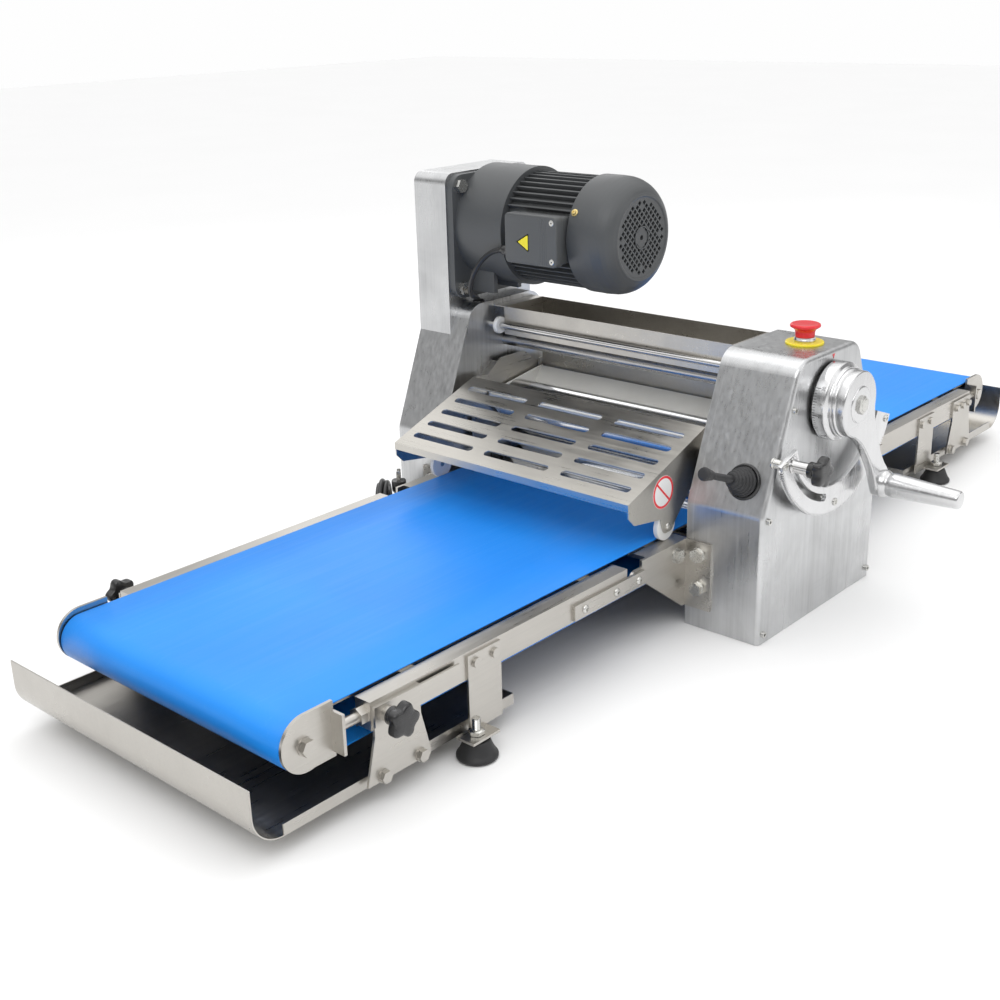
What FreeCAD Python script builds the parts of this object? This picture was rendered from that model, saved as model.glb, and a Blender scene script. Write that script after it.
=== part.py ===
"""Table-top dough sheeter with two folding conveyor tables.

+X runs along the conveyors, +Y from the operator's side to the motor's side and +Z up.
The origin lies midway between the two housings, on the bench that they stand on.
"""
import FreeCAD, Part
import math
import os
import re
import Sketcher

# Driving dimensions in millimetres.
SIZES = {
    # housings
    "inner_face": 224.0,        # half the clear width between the housings
    "plate_thick": 10.0,        # walls that carry the rollers
    "operator_outer": 339.0,
    "motor_outer": 318.0,
    "cast_wall": 8.0,
    "cover_thick": 4.0,
    "foot_half": 151.0,         # half length of a housing at the bench
    "shoulder_z": 177.0,
    "roof_half": 76.3,
    "roof_z": 367.0,
    "roof_round": 30.0,
    "shoulder_round": 20.0,
    "rim_round": 6.0,
    "tower_half": 94.0,
    "tower_inner": 254.0,
    "tower_top": 562.0,
    "tower_root": 322.0,
    "tower_round": 16.0,
    "bench_bolt_x": 110.0,
    "bench_bolt_y": 280.0,
    "bench_hole": 5.25,
    "tie_x": 112.0,
    "tie_z": 40.0,
    "tie_bar": 10.0,
    "rest_bar": 5.0,
    "rest_bar_x": 31.0,
    "rest_bar_z": 331.0,
    "rear_bar_x": 45.0,
    # belts
    "belt_half": 200.0,
    "belt_thick": 2.0,
    "belt_top": 129.5,
    "belt_bend": 27.5,          # inner radius of the belt's turn
    "roll_clear": 0.3,
    "nose_reach": 803.0,
    "drive_reach": 78.0,
    "fold_reach": 265.0,
    "fold_z": 104.0,
    "belt_parting": 19.0,       # half the gap between the two halves of a belt at the fold
    # sheeting rollers
    "roller": 42.0,
    "roller_half": 204.0,
    "journal": 15.0,
    "roller_gap": 25.0,
    "bearing_outer": 31.0,
    "run_fit": 0.05,
    "drive_shaft": 10.0,
    "block_half": 26.0,
    "block_high": 28.0,
    "lift_up": 12.2,
    "lift_down": 24.3,
    "slide_fit": 0.3,
    # gap lever, dial and sector
    "shaft_z": 302.0,
    "gap_shaft": 10.0,
    "pinion": 20.8,
    "rack_x": 21.2,
    "rack_thick": 10.0,
    "dial": 52.0,
    "dial_back": 343.0,
    "dial_front": 367.0,
    "hub": 45.5,
    "hub_front": 379.0,
    "arm_half": 15.0,
    "grip_x": 85.0,
    "grip_z": 170.0,
    "grip_back": 385.0,
    "grip_end": 494.0,
    "grip_small": 12.0,
    "grip_big": 17.0,
    "sector_outer": 154.0,
    "sector_inner": 113.5,
    "sector_back": 351.0,
    "sector_thick": 6.0,
    "sector_start": 200.0,
    "sector_sweep": 140.0,
    "slot_radius": 128.8,
    "slot_half": 5.0,
    "slot_start": 203.0,
    "slot_sweep": 54.0,
    "stop_angle": 206.8,
    "stop_stud": 4.0,
    "star_knob": 20.5,
    "star_deep": 24.0,
    # roller side plates and guards
    "side_plate": 212.0,
    "side_plate_thick": 2.0,
    "cheek_inner": 208.5,
    "cheek_thick": 2.0,
    "guard_pin_x": 72.0,
    "guard_pin_z": 247.0,
    "guard_pin": 5.0,
    "guard_front_x": 264.0,
    "guard_front_z": 201.0,
    "guard_rear_x": 93.0,
    "guard_rear_z": 262.0,
    "guard_sheet": 2.0,
    "guard_slot": 5.5,          # half the width of a slot
    "guard_slot_half": 57.0,
    "guard_slot_pitch_x": 29.5,
    "guard_slot_pitch_y": 137.5,
    "guard_slot_first_x": 120.0,
    "wheel": 20.2,
    "wheel_x": 176.0,
    "wheel_inner": 201.6,
    "wheel_wide": 6.0,
    "wheel_pin": 4.0,
    "scraper_thick": 3.0,
    "scraper_clear": 0.7,       # from a roller to the scrapers' edges
    # flour box
    "box_low_x": -24.0,
    "box_high_x": 66.0,
    "box_bottom": 316.0,
    "box_rim": 359.0,
    "box_half": 205.0,
    "box_sheet": 1.5,
    # tables
    "rail_outer": 225.5,
    "rail_wide": 23.0,
    "rail_bottom": 91.8,
    "rail_top": 125.5,
    "rail_wall": 2.0,
    "rail_end": 730.0,
    "rail_start": 285.0,
    "cross_tube": 20.0,
    "bed_thick": 3.0,
    "strap_thick": 4.0,
    "strap_half": 10.0,
    "strap_far": 395.0,
    "strap_near": 252.0,
    "fold_pin": 4.0,
    "bracket_thick": 4.0,
    "bracket_low": 29.0,
    "bracket_flange": 265.0,
    "flange_stop": 240.0,
    "nose_plate": 33.0,
    "nose_plate_rise": 3.0,
    "nose_plate_inner": 202.0,
    "nose_plate_thick": 4.0,
    "nose_flange_x": 763.0,
    "nose_shaft": 8.0,
    "tension_rod": 6.0,
    "rod_y": 214.0,
    "rod_z": 108.6,
    "rod_tail": 690.0,
    "knob_x": 712.0,
    "knob_z": 108.0,
    "knob_back": 238.0,
    "fitting_thick": 3.0,
    "foot_plate_low_x": 529.0,
    "foot_plate_high_x": 584.0,
    "foot_flange_z": 26.0,
    "foot_x": 585.0,
    "foot_y": 239.0,
    "foot_pad": 24.5,
    "foot_top": 15.2,
    "foot_high": 23.0,
    "foot_stem": 5.0,
    # catch trays
    "tray_start": 500.0,
    "tray_beyond": 47.0,        # from the nose roller's axis to the tray's bend
    "tray_turn": 38.0,
    "tray_floor": 24.0,
    "tray_half": 220.0,
    "tray_sheet": 1.5,
    "tray_side_z": 38.0,
    "tray_lip_z": 94.0,
    "tray_bolt_z": 34.5,
    # gear motor
    "motor_z": 483.0,
    "output_z": 468.0,
    "flange_half": 92.0,
    "flange_thick": 12.0,
    "flange_round": 22.0,
    "flange_bolt": 76.0,
    "gearcase": 87.0,
    "gearcase_end": 153.0,
    "motor_frame": 72.0,
    "fin_tip": 80.8,
    "fin_thick": 2.5,
    "frame_end": 31.0,
    "cowl": 83.5,
    "cowl_wall": 2.5,
    "cowl_face": 62.0,
    "cowl_end": -37.0,
    "cowl_turn": -12.0,
    "fan": 58.0,
    "sprocket": 40.0,
    "chain_y": 286.0,
    "chain_wide": 6.0,
    "output_shaft": 12.0,
    # controls
    "stop_button": 20.4,
    "stop_ring": 25.5,
    "stop_x": 13.6,
    "stop_y": -291.5,
    "stick_y": -299.5,
    "stick_z": 216.0,
    "stick_long": 104.0,
    "boot_long": 34.0,
    "stick_pivot": 6.5,
    "boot": 20.0,
    "stick": 5.0,
    # mains lead
    "cord": 3.75,
    "gland_x": -181.0,
    "gland_y": 290.0,
    "gland_z": 36.0,
    "coil_x": -227.0,
    "coil_y": 281.0,
    "coil_turn": 42.2,          # angle of the coil's plane from the XZ plane
    "coil": 48.0,
    "coil_bundle": 10.4,
    "plug_along": -6.0,         # the plug's place along and across the coil's plane
    "plug_across": -25.2,
    "plug_z": 90.0,
    "plug_high": 29.0,
    "plug_half": 11.5,
}
FRONT, REAR = -1, 1             # the two conveyors, at -X and at +X
NEAR, FAR = -1, 1               # the operator's side and the motor's side
SIDES = ((FRONT, "front"), (REAR, "rear"))
X_AXIS, Y_AXIS, Z_AXIS = FreeCAD.Vector(1, 0, 0), FreeCAD.Vector(0, 1, 0), FreeCAD.Vector(0, 0, 1)
TURNS = {
    "X": FreeCAD.Rotation(Y_AXIS, 90),
    "Y": FreeCAD.Rotation(X_AXIS, -90),
    "Z": FreeCAD.Rotation(),
}
OTHERS = {"X": ("Y", "Z"), "Y": ("X", "Z"), "Z": ("X", "Y")}

doc = FreeCAD.newDocument("dough_sheeter")
sheet = doc.addObject("Spreadsheet::Sheet", "dims")
for row, (alias, value) in enumerate(SIZES.items(), 1):
    sheet.set("A%d" % row, alias)
    sheet.set("B%d" % row, str(value))
    sheet.setAlias("B%d" % row, alias)
doc.recompute()
nodes = {}


# ---------------------------------------------------------------- helpers

def cells(text):
    """The expression with each size's name turned into its cell."""
    return re.sub(r"[a-z]\w*", lambda word: "dims." + word[0] if word[0] in SIZES else word[0], str(text))


def bind(obj, prop, text):
    obj.setExpression(prop, cells(text))


def at(side, text):
    """The coordinate on one side of the middle plane."""
    return "%d * (%s)" % (side, text)


def span(side, low, high):
    """A stretch from low to high away from the middle plane, on one side of it."""
    return (at(side, low), at(side, high)) if side > 0 else (at(side, high), at(side, low))


def both(half):
    """A stretch that is centred on the middle plane."""
    return ("-(%s)" % half, str(half))


def place(obj, where, turn=None):
    if turn is not None:
        obj.Placement = FreeCAD.Placement(FreeCAD.Vector(), turn)
    for axis, text in zip("xyz", where):
        bind(obj, "Placement.Base." + axis, text)
    return obj


def block(name, xs, ys, zs):
    obj = doc.addObject("Part::Box", name)
    for prop, (low, high) in zip(("Length", "Width", "Height"), (xs, ys, zs)):
        bind(obj, prop, "(%s) - (%s)" % (high, low))
    return place(obj, (xs[0], ys[0], zs[0]))


def along(obj, axis, centre, low):
    spots = dict(zip(OTHERS[axis], centre))
    spots[axis] = low
    return place(obj, [spots[letter] for letter in "XYZ"], TURNS[axis])


def rod(name, axis, centre, stretch, radius):
    obj = doc.addObject("Part::Cylinder", name)
    bind(obj, "Radius", radius)
    bind(obj, "Height", "(%s) - (%s)" % (stretch[1], stretch[0]))
    return along(obj, axis, centre, stretch[0])


def cone(name, axis, centre, stretch, low_radius, high_radius):
    obj = doc.addObject("Part::Cone", name)
    bind(obj, "Radius1", low_radius)
    bind(obj, "Radius2", high_radius)
    bind(obj, "Height", "(%s) - (%s)" % (stretch[1], stretch[0]))
    return along(obj, axis, centre, stretch[0])


def hexagon(name, axis, centre, stretch, across):
    obj = doc.addObject("Part::Prism", name)
    obj.Polygon = 6
    bind(obj, "Circumradius", "(%s) / sqrt(3)" % across)
    bind(obj, "Height", "(%s) - (%s)" % (stretch[1], stretch[0]))
    return along(obj, axis, centre, stretch[0])


def join(name, *parts):
    obj = doc.addObject("Part::MultiFuse", name)
    obj.Shapes = list(parts)
    obj.Refine = True
    return obj


def cut(name, base, *tools):
    obj = doc.addObject("Part::Cut", name)
    obj.Base = base
    obj.Tool = tools[0] if len(tools) == 1 else join(name + "_tools", *tools)
    return obj


def group(name, *parts):
    obj = doc.addObject("Part::Compound", name)
    obj.Links = list(parts)
    return obj


def node(label, obj):
    obj.Label = label
    nodes[label] = obj
    return obj


def draw(body, plane, points, offset, holes=()):
    """A closed outline, and round holes in it, every corner tied to the sheet."""
    sketch = body.newObject("Sketcher::SketchObject", body.Name + "_sketch")
    origin_plane = next(part for part in body.Origin.OriginFeatures if part.Role == plane + "_Plane")
    sketch.AttachmentSupport = (origin_plane, [""])
    sketch.MapMode = "FlatFace"
    bind(sketch, "AttachmentOffset.Base.z", offset)
    count = len(points)
    ring = [FreeCAD.Vector(100 * math.cos(2 * math.pi * i / count), 100 * math.sin(2 * math.pi * i / count), 0)
            for i in range(count)]
    for i in range(count):
        sketch.addGeometry(Part.LineSegment(ring[i], ring[(i + 1) % count]))
    for i in range(count):
        sketch.addConstraint(Sketcher.Constraint("Coincident", i, 2, (i + 1) % count, 1))
    for i, (x, y) in enumerate(points):
        tie(sketch, "DistanceX", i, 1, ring[i].x, x)
        tie(sketch, "DistanceY", i, 1, ring[i].y, y)
    for x, y, radius in holes:
        hole = sketch.addGeometry(Part.Circle(FreeCAD.Vector(1, 1, 0), Z_AXIS, 1))
        tie(sketch, "DistanceX", hole, 3, 1, x)
        tie(sketch, "DistanceY", hole, 3, 1, y)
        number = sketch.addConstraint(Sketcher.Constraint("Radius", hole, 1))
        bind(sketch, "Constraints[%d]" % number, radius)
    return sketch


def tie(sketch, kind, item, point, start, text):
    number = sketch.addConstraint(Sketcher.Constraint(kind, -1, 1, item, point, start))
    bind(sketch, "Constraints[%d]" % number, text)


def pad(name, plane, points, stretch, holes=(), rounds=()):
    """A padded outline between two coordinates on the axis across its plane.

    rounds holds (corner numbers, radius) pairs. The XZ plane's sketches face -Y.
    """
    body = doc.addObject("PartDesign::Body", name)
    low, high = stretch
    offset = "-(%s)" % high if plane == "XZ" else low
    sketch = draw(body, plane, points, offset, holes)
    feature = body.newObject("PartDesign::Pad", name + "_pad")
    feature.Profile = (sketch, [""])
    bind(feature, "Length", "(%s) - (%s)" % (high, low))
    for corners, radius in rounds:
        round_corners(body, sketch, corners, radius)
    return body


def round_corners(body, sketch, corners, radius):
    doc.recompute()
    normal = sketch.Placement.Rotation.multVec(Z_AXIS)
    spots = [sketch.Placement.multVec(sketch.getPoint(corner, 1)) for corner in corners]
    base = body.Tip
    names = []
    for number, edge in enumerate(base.Shape.Edges, 1):
        if edge.Curve.TypeId != "Part::GeomLine":
            continue
        start, end = (vertex.Point for vertex in edge.Vertexes)
        if (end - start).cross(normal).Length > 1e-4:
            continue
        if any((start - spot).cross(normal).Length < 1e-4 for spot in spots):
            names.append("Edge%d" % number)
    fillet(body, base, names, radius)


def round_rim(body, level, radius):
    """Rounds the edges of the end face at a level along Y, except along the bench."""
    doc.recompute()
    base = body.Tip
    names = []
    for number, edge in enumerate(base.Shape.Edges, 1):
        ends = [vertex.Point for vertex in edge.Vertexes]
        if all(abs(end.y - level) < 1e-4 for end in ends) and any(end.z > 1e-4 for end in ends):
            names.append("Edge%d" % number)
    fillet(body, base, names, radius)


def fillet(body, base, names, radius):
    feature = body.newObject("PartDesign::Fillet", body.Name + "_round")
    feature.Base = (base, names)
    bind(feature, "Radius", radius)
    body.Tip = feature


def value(alias):
    return float(sheet.get(alias))


# ---------------------------------------------------------------- worked-out places

NOSE_Z = "(belt_top - belt_thick - belt_bend)"
LOWER_Z = "(belt_top - roller)"
UPPER_Z = "(belt_top + roller_gap + roller)"
WALL_OUT = "(inner_face + plate_thick)"
SLOPE = "((foot_half - roof_half) / (roof_z - shoulder_z))"
BAR_Z = "(box_bottom - 0.3 - rest_bar)"
EDGE = "(roller + scraper_clear)"
TRAY_TURN = "(nose_reach + tray_beyond)"


def bolt(name, side, centre, seat, across, high):
    """A hexagon head and its washer on a face that looks away from the middle plane along Y."""
    washer = rod(name + "_washer", "Y", centre, span(side, seat, "%s + 1.5" % seat), "%s * 0.62" % across)
    head = hexagon(name, "Y", centre, span(side, "%s + 1.5" % seat, "%s + 1.5 + %s" % (seat, high)), across)
    return join(name + "_set", washer, head)


# ---------------------------------------------------------------- housings

def profile(inset):
    """The housing's outline in XZ, drawn in by a wall."""
    foot = "foot_half - %s" % inset
    roof = "roof_half - %s" % inset
    return [("-(%s)" % foot, inset), (foot, inset), (foot, "shoulder_z"), (roof, "roof_z - %s" % inset),
            ("-(%s)" % roof, "roof_z - %s" % inset), ("-(%s)" % foot, "shoulder_z")]


def tower_profile(inset):
    foot = "foot_half - %s" % inset
    half = "tower_half - %s" % inset
    root = "tower_root - %s" % inset
    top = "tower_top - %s" % inset
    return [("-(%s)" % foot, inset), (foot, inset), (foot, "shoulder_z"), (half, root), (half, top),
            ("-(%s)" % half, top), ("-(%s)" % half, root), ("-(%s)" % foot, "shoulder_z")]


def carrier_wall_tools(name, side):
    """Cutters for the wall that carries the rollers: bearing bores, block window, shaft holes."""
    across = span(side, "inner_face - 5", WALL_OUT + " + 5")
    window_low = "%s - block_high - lift_down" % UPPER_Z
    window_high = "%s + block_high + lift_up" % UPPER_Z
    tools = [
        rod(name + "_bearing_bore", "Y", (0, LOWER_Z), across, "bearing_outer"),
        rod(name + "_gap_hole", "Y", (0, "shaft_z"), across, "gap_shaft + run_fit"),
        block(name + "_window", both("block_half + slide_fit"), across, (window_low, window_high)),
    ]
    for end, word in SIDES:
        tools.append(rod(name + "_drive_hole_" + word, "Y", (at(end, "drive_reach"), NOSE_Z), across,
                         "drive_shaft + run_fit"))
    return tools


def bench_holes(name, side):
    return [rod("%s_bench_hole_%s" % (name, word), "Z", (at(end, "bench_bolt_x"), at(side, "bench_bolt_y")),
                (-5, "cast_wall + 5"), "bench_hole") for end, word in SIDES]


def operator_side():
    plate = pad("operator_plate_blank", "XZ", profile("0"), span(NEAR, "inner_face", WALL_OUT),
                rounds=[((3, 4), "roof_round"), ((2, 5), "shoulder_round")])
    node("operator_frame_plate", cut("operator_frame_plate", plate, *carrier_wall_tools("operator", NEAR)))
    shell = pad("operator_cover_blank", "XZ", profile("0"), span(NEAR, WALL_OUT, "operator_outer"),
                rounds=[((3, 4), "roof_round"), ((2, 5), "shoulder_round")])
    round_rim(shell, -value("operator_outer"), "rim_round")
    core = pad("operator_core", "XZ", profile("cast_wall"),
               span(NEAR, WALL_OUT + " - 1", "operator_outer - cast_wall"),
               rounds=[((3, 4), "roof_round - cast_wall")])
    shaft_hole = rod("operator_shaft_hole", "Y", (0, "shaft_z"),
                     span(NEAR, "operator_outer - cast_wall - 5", "operator_outer + 5"), "gap_shaft + run_fit")
    node("operator_cover", cut("operator_cover", shell, core, shaft_hole, *bench_holes("operator", NEAR)))
    screws = []
    spots = [(-89, 307), (89, 307), (-140, 172), (140, 172), (-141, 14), (141, 14)]
    for number, (x, z) in enumerate(spots):
        head = rod("cover_screw_%d" % number, "Y", (x, z),
                   span(NEAR, "operator_outer", "operator_outer + 4"), 4.25)
        socket = hexagon("cover_socket_%d" % number, "Y", (x, z),
                         span(NEAR, "operator_outer + 1.5", "operator_outer + 5"), 4)
        screws.append(cut("cover_screw_set_%d" % number, head, socket))
    return screws


def motor_side():
    low = pad("motor_low_blank", "XZ", profile("0"), span(FAR, "inner_face", "tower_inner + 5"),
              rounds=[((3, 4), "roof_round"), ((2, 5), "shoulder_round")])
    high = pad("motor_high_blank", "XZ", tower_profile("0"),
               span(FAR, "tower_inner", "motor_outer - cover_thick"),
               rounds=[((4, 5), "tower_round"), ((2, 7), "shoulder_round")])
    low_core = pad("motor_low_core", "XZ", profile("cast_wall"), span(FAR, WALL_OUT, "motor_outer"),
                   rounds=[((3, 4), "roof_round - cast_wall")])
    high_core = pad("motor_high_core", "XZ", tower_profile("cast_wall"),
                    span(FAR, "tower_inner + cast_wall", "motor_outer"))
    output_hole = rod("motor_output_hole", "Y", (0, "output_z"),
                      span(FAR, "tower_inner - 5", "tower_inner + cast_wall + 5"), "output_shaft + 8")
    casting = join("motor_casting", low, high)
    node("motor_housing", cut("motor_housing", casting, low_core, high_core, output_hole,
                              *(carrier_wall_tools("motor", FAR) + bench_holes("motor", FAR))))
    back = pad("motor_cover", "XZ", tower_profile("0"), span(FAR, "motor_outer - cover_thick", "motor_outer"),
               rounds=[((4, 5), "tower_round"), ((2, 7), "shoulder_round")])
    node("motor_cover", back)


def cross_members(pins):
    """Tie bars, the bars that the flour box rests on, and the pins of the guards' hinges."""
    bars = [rod("tie_bar_" + word, "Y", (at(end, "tie_x"), "tie_z"), both("inner_face"), "tie_bar")
            for end, word in SIDES]
    bars.append(rod("upper_rest_bar", "Y", ("-rest_bar_x", "rest_bar_z"), both("inner_face"), "rest_bar"))
    bars.append(rod("box_rest_bar", "Y", ("rear_bar_x", BAR_Z), both("inner_face"), "rest_bar"))
    node("cross_bars", group("cross_bars", *bars, *pins))


def side_plates():
    """Cover plates over the bearing windows; returns the guards' hinge pins."""
    plates, pins = [], []
    for side, word in ((NEAR, "near"), (FAR, "far")):
        outer = "side_plate + side_plate_thick"
        points = [(-95, 140), (95, 140), (95, 232), (28, 278), (-28, 278), (-95, 232)]
        blank = pad("side_plate_%s_blank" % word, "XZ", points, span(side, "side_plate", outer),
                    rounds=[((3, 4), 8)])
        slot = block("side_plate_%s_slot" % word, both("journal + 2"),
                     span(side, "side_plate - 5", outer + " + 5"), (135, UPPER_Z + " + lift_up + journal + 2"))
        wings = []
        for end, end_word in SIDES:
            strip = [(at(end, 95), 232), (at(end, 34), 273.9), (at(end, 34), 271.5), (at(end, 95), 229.6)]
            wings.append(pad("side_wing_%s_%s" % (word, end_word), "XZ", strip, span(side, outer, "inner_face")))
            pins.append(rod("guard_pin_%s_%s" % (word, end_word), "Y", (at(end, "guard_pin_x"), "guard_pin_z"),
                            span(side, "cheek_inner - 0.2", "side_plate"), "guard_pin"))
        plates.append(join("side_plate_" + word, cut("side_plate_%s_cut" % word, blank, slot), *wings))
    node("roller_side_plates", group("roller_side_plates", *plates))
    return pins


# ---------------------------------------------------------------- rollers and scrapers

def rollers():
    for name, level in (("lower_roller", LOWER_Z), ("upper_roller", UPPER_Z)):
        barrel = rod(name + "_barrel", "Y", (0, level), both("roller_half"), "roller")
        reach = both(WALL_OUT + " + 2")
        if name == "lower_roller":
            reach = ("-(%s + 2)" % WALL_OUT, "chain_y + chain_wide + 2")
        journal = rod(name + "_journal", "Y", (0, level), reach, "journal")
        pieces = [barrel, journal]
        if name == "lower_roller":
            pieces.append(rod("roller_sprocket", "Y", (0, level),
                              ("chain_y", "chain_y + chain_wide"), "sprocket"))
        node(name, join(name, *pieces))
    rings = []
    for side, word in ((NEAR, "near"), (FAR, "far")):
        reach = span(side, "inner_face", WALL_OUT)
        race = rod("bearing_race_" + word, "Y", (0, LOWER_Z), reach, "bearing_outer")
        bore = rod("bearing_bore_" + word, "Y", (0, LOWER_Z), span(side, "inner_face - 5", WALL_OUT + " + 5"),
                   "journal + run_fit")
        rings.append(cut("roller_bearing_" + word, race, bore))
    node("roller_bearings", group("roller_bearings", *rings))
    for end, word in SIDES:
        centre = (at(end, "drive_reach"), NOSE_Z)
        barrel = rod(word + "_drive_barrel", "Y", centre, both("belt_half"), "belt_bend - roll_clear")
        shaft = rod(word + "_drive_shaft", "Y", centre, both(WALL_OUT + " + 2"), "drive_shaft")
        node(word + "_drive_roller", join(word + "_drive_roller", barrel, shaft))


def lift_carriage():
    """The sliding bearing blocks with their racks, and the scrapers hung on the upper roller's journals."""
    blocks, ends = [], []
    for side, word in ((NEAR, "near"), (FAR, "far")):
        body = block("slide_block_" + word, both("block_half"), span(side, "inner_face + 0.3", WALL_OUT + " + 2"),
                     (UPPER_Z + " - block_high", UPPER_Z + " + block_high"))
        rack = block("lift_rack_" + word, ("rack_x", "rack_x + rack_thick"),
                     span(side, WALL_OUT + " + 2", WALL_OUT + " + 12"),
                     (UPPER_Z + " - 20", "shaft_z + 36"))
        bore = rod("slide_bore_" + word, "Y", (0, UPPER_Z), span(side, "inner_face - 5", WALL_OUT + " + 15"),
                   "journal + run_fit")
        blocks.append(cut("bearing_block_" + word, join("block_and_rack_" + word, body, rack), bore))
        outline = [(-24, UPPER_Z + " - 24"), (24, UPPER_Z + " - 24"), ("roller + 18", UPPER_Z + " + 20"),
                   ("roller + 24", UPPER_Z + " + roller + 10"), ("-roller - 20", UPPER_Z + " + 34"),
                   ("-roller - 18", UPPER_Z + " + 20")]
        plate = pad("scraper_end_" + word, "XZ", outline, span(side, "roller_half + 0.5", "roller_half + 3.5"),
                    holes=[(0, UPPER_Z, "journal + run_fit")])
        ends.append(plate)
    node("bearing_blocks", group("bearing_blocks", *blocks))
    front = pad("upper_scraper_front", "XZ",
                [("-0.865 * " + EDGE, UPPER_Z + " + 0.5017 * " + EDGE), ("-roller - 18", UPPER_Z + " + 29"),
                 ("-roller - 18", UPPER_Z + " + 29 + scraper_thick"),
                 ("-0.865 * " + EDGE, UPPER_Z + " + scraper_thick + 0.5017 * " + EDGE)], both("roller_half + 1"))
    rear = pad("upper_scraper_rear", "XZ",
               [("0.8669 * " + EDGE, UPPER_Z + " + 0.4993 * " + EDGE),
                ("0.8994 * (1.2 + %s)" % EDGE, UPPER_Z + " + 0.4372 * (1.2 + %s)" % EDGE),
                ("roller + 23.5", UPPER_Z + " + roller + 7"), ("roller + 21", UPPER_Z + " + roller + 9")],
               both("roller_half + 1"))
    node("upper_scrapers", join("upper_scrapers", front, rear, *ends))
    blades = []
    for end, word in SIDES:
        points = [(at(end, "0.7072 * " + EDGE), LOWER_Z + " - 0.7095 * " + EDGE),
                  (at(end, "roller + 18"), LOWER_Z + " - roller - 1.5"),
                  (at(end, "roller + 19"), LOWER_Z + " - roller + 1.5"),
                  (at(end, "0.7587 * (0.2 + %s)" % EDGE), LOWER_Z + " - 0.6542 * (0.2 + %s)" % EDGE)]
        blades.append(pad("lower_scraper_" + word, "XZ", points, both("inner_face")))
    node("lower_scrapers", group("lower_scrapers", *blades))


# ---------------------------------------------------------------- gap lever and stop

def gap_controls():
    shaft = rod("gap_shaft_bar", "Y", (0, "shaft_z"), ("-hub_front - 6", WALL_OUT + " + 14"), "gap_shaft")
    pinions = [rod("lift_pinion_" + word, "Y", (0, "shaft_z"),
                   span(side, WALL_OUT + " + 2.5", WALL_OUT + " + 11.5"), "pinion")
               for side, word in ((NEAR, "near"), (FAR, "far"))]
    node("gap_shaft", join("gap_shaft", shaft, *pinions))

    def ring(name, stretch, radius):
        disc = rod(name + "_disc", "Y", (0, "shaft_z"), stretch, radius)
        hole = rod(name + "_hole", "Y", (0, "shaft_z"), both("hub_front + 10"), "gap_shaft")
        return cut(name, disc, hole)

    boss = ring("dial_boss", span(NEAR, "operator_outer + 0.3", "dial_back"), "hub - 5")
    drum = ring("dial_drum", span(NEAR, "dial_back", "dial_front"), "dial")
    node("gap_dial", join("gap_dial", boss, drum))
    hub = rod("lever_hub", "Y", (0, "shaft_z"), span(NEAR, "dial_front", "hub_front"), "hub")
    web = arm_web()
    eye = rod("lever_eye", "Y", ("grip_x", "grip_z"), span(NEAR, "dial_front + 2", "grip_back"), "grip_big + 2")
    hole = rod("lever_hole", "Y", (0, "shaft_z"), both("hub_front + 10"), "gap_shaft")
    arm = cut("lever_body", join("lever_blank", hub, web, eye), hole)
    grip = cone("lever_grip", "Y", ("grip_x", "grip_z"), span(NEAR, "grip_back", "grip_end"),
                "grip_small", "grip_big")
    washer = rod("hub_washer", "Y", (0, "shaft_z"), span(NEAR, "hub_front", "hub_front + 3"), 25)
    nut = hexagon("hub_nut", "Y", (0, "shaft_z"), span(NEAR, "hub_front + 3", "hub_front + 13"), 24)
    locknut = cut("hub_fastener", join("hub_fastener_blank", washer, nut), rod(
        "hub_nut_hole", "Y", (0, "shaft_z"), span(NEAR, "hub_front - 1", "hub_front + 6"), "gap_shaft"))
    node("gap_lever", group("gap_lever", arm, grip, locknut))


def arm_web():
    """The lever's arm, a tapered plate from the hub to the grip's eye."""
    body = doc.addObject("PartDesign::Body", "lever_web")
    drop = "(shaft_z - grip_z)"
    reach = "sqrt(grip_x * grip_x + %s * %s)" % (drop, drop)
    side_x = "(%s / %s)" % (drop, reach)
    side_z = "(grip_x / %s)" % reach
    corners = []
    for base_x, base_z, half in ((0, "shaft_z", "arm_half * 1.6"), ("grip_x", "grip_z", "arm_half")):
        for sign in (-1, 1):
            corners.append(("%s + %d * (%s) * %s" % (base_x, sign, half, side_x),
                            "%s + %d * (%s) * %s" % (base_z, sign, half, side_z)))
    points = [corners[0], corners[1], corners[3], corners[2]]
    sketch = draw(body, "XZ", points, "dial_front + 2")
    feature = body.newObject("PartDesign::Pad", "lever_web_pad")
    feature.Profile = (sketch, [""])
    bind(feature, "Length", "hub_front - dial_front - 2")
    return body


def sector_piece(name, radius, start, sweep, stretch):
    """Part of a disc about the lever's shaft, from a start angle, measured from +X towards +Z."""
    obj = rod(name, "Y", (0, "shaft_z"), stretch, radius)
    bind(obj, "Angle", sweep)
    obj.Placement = FreeCAD.Placement(obj.Placement.Base, FreeCAD.Rotation(X_AXIS, 90) * FreeCAD.Rotation(
        Z_AXIS, value(start)))
    bind(obj, "Placement.Base.y", stretch[1])
    return obj


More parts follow.
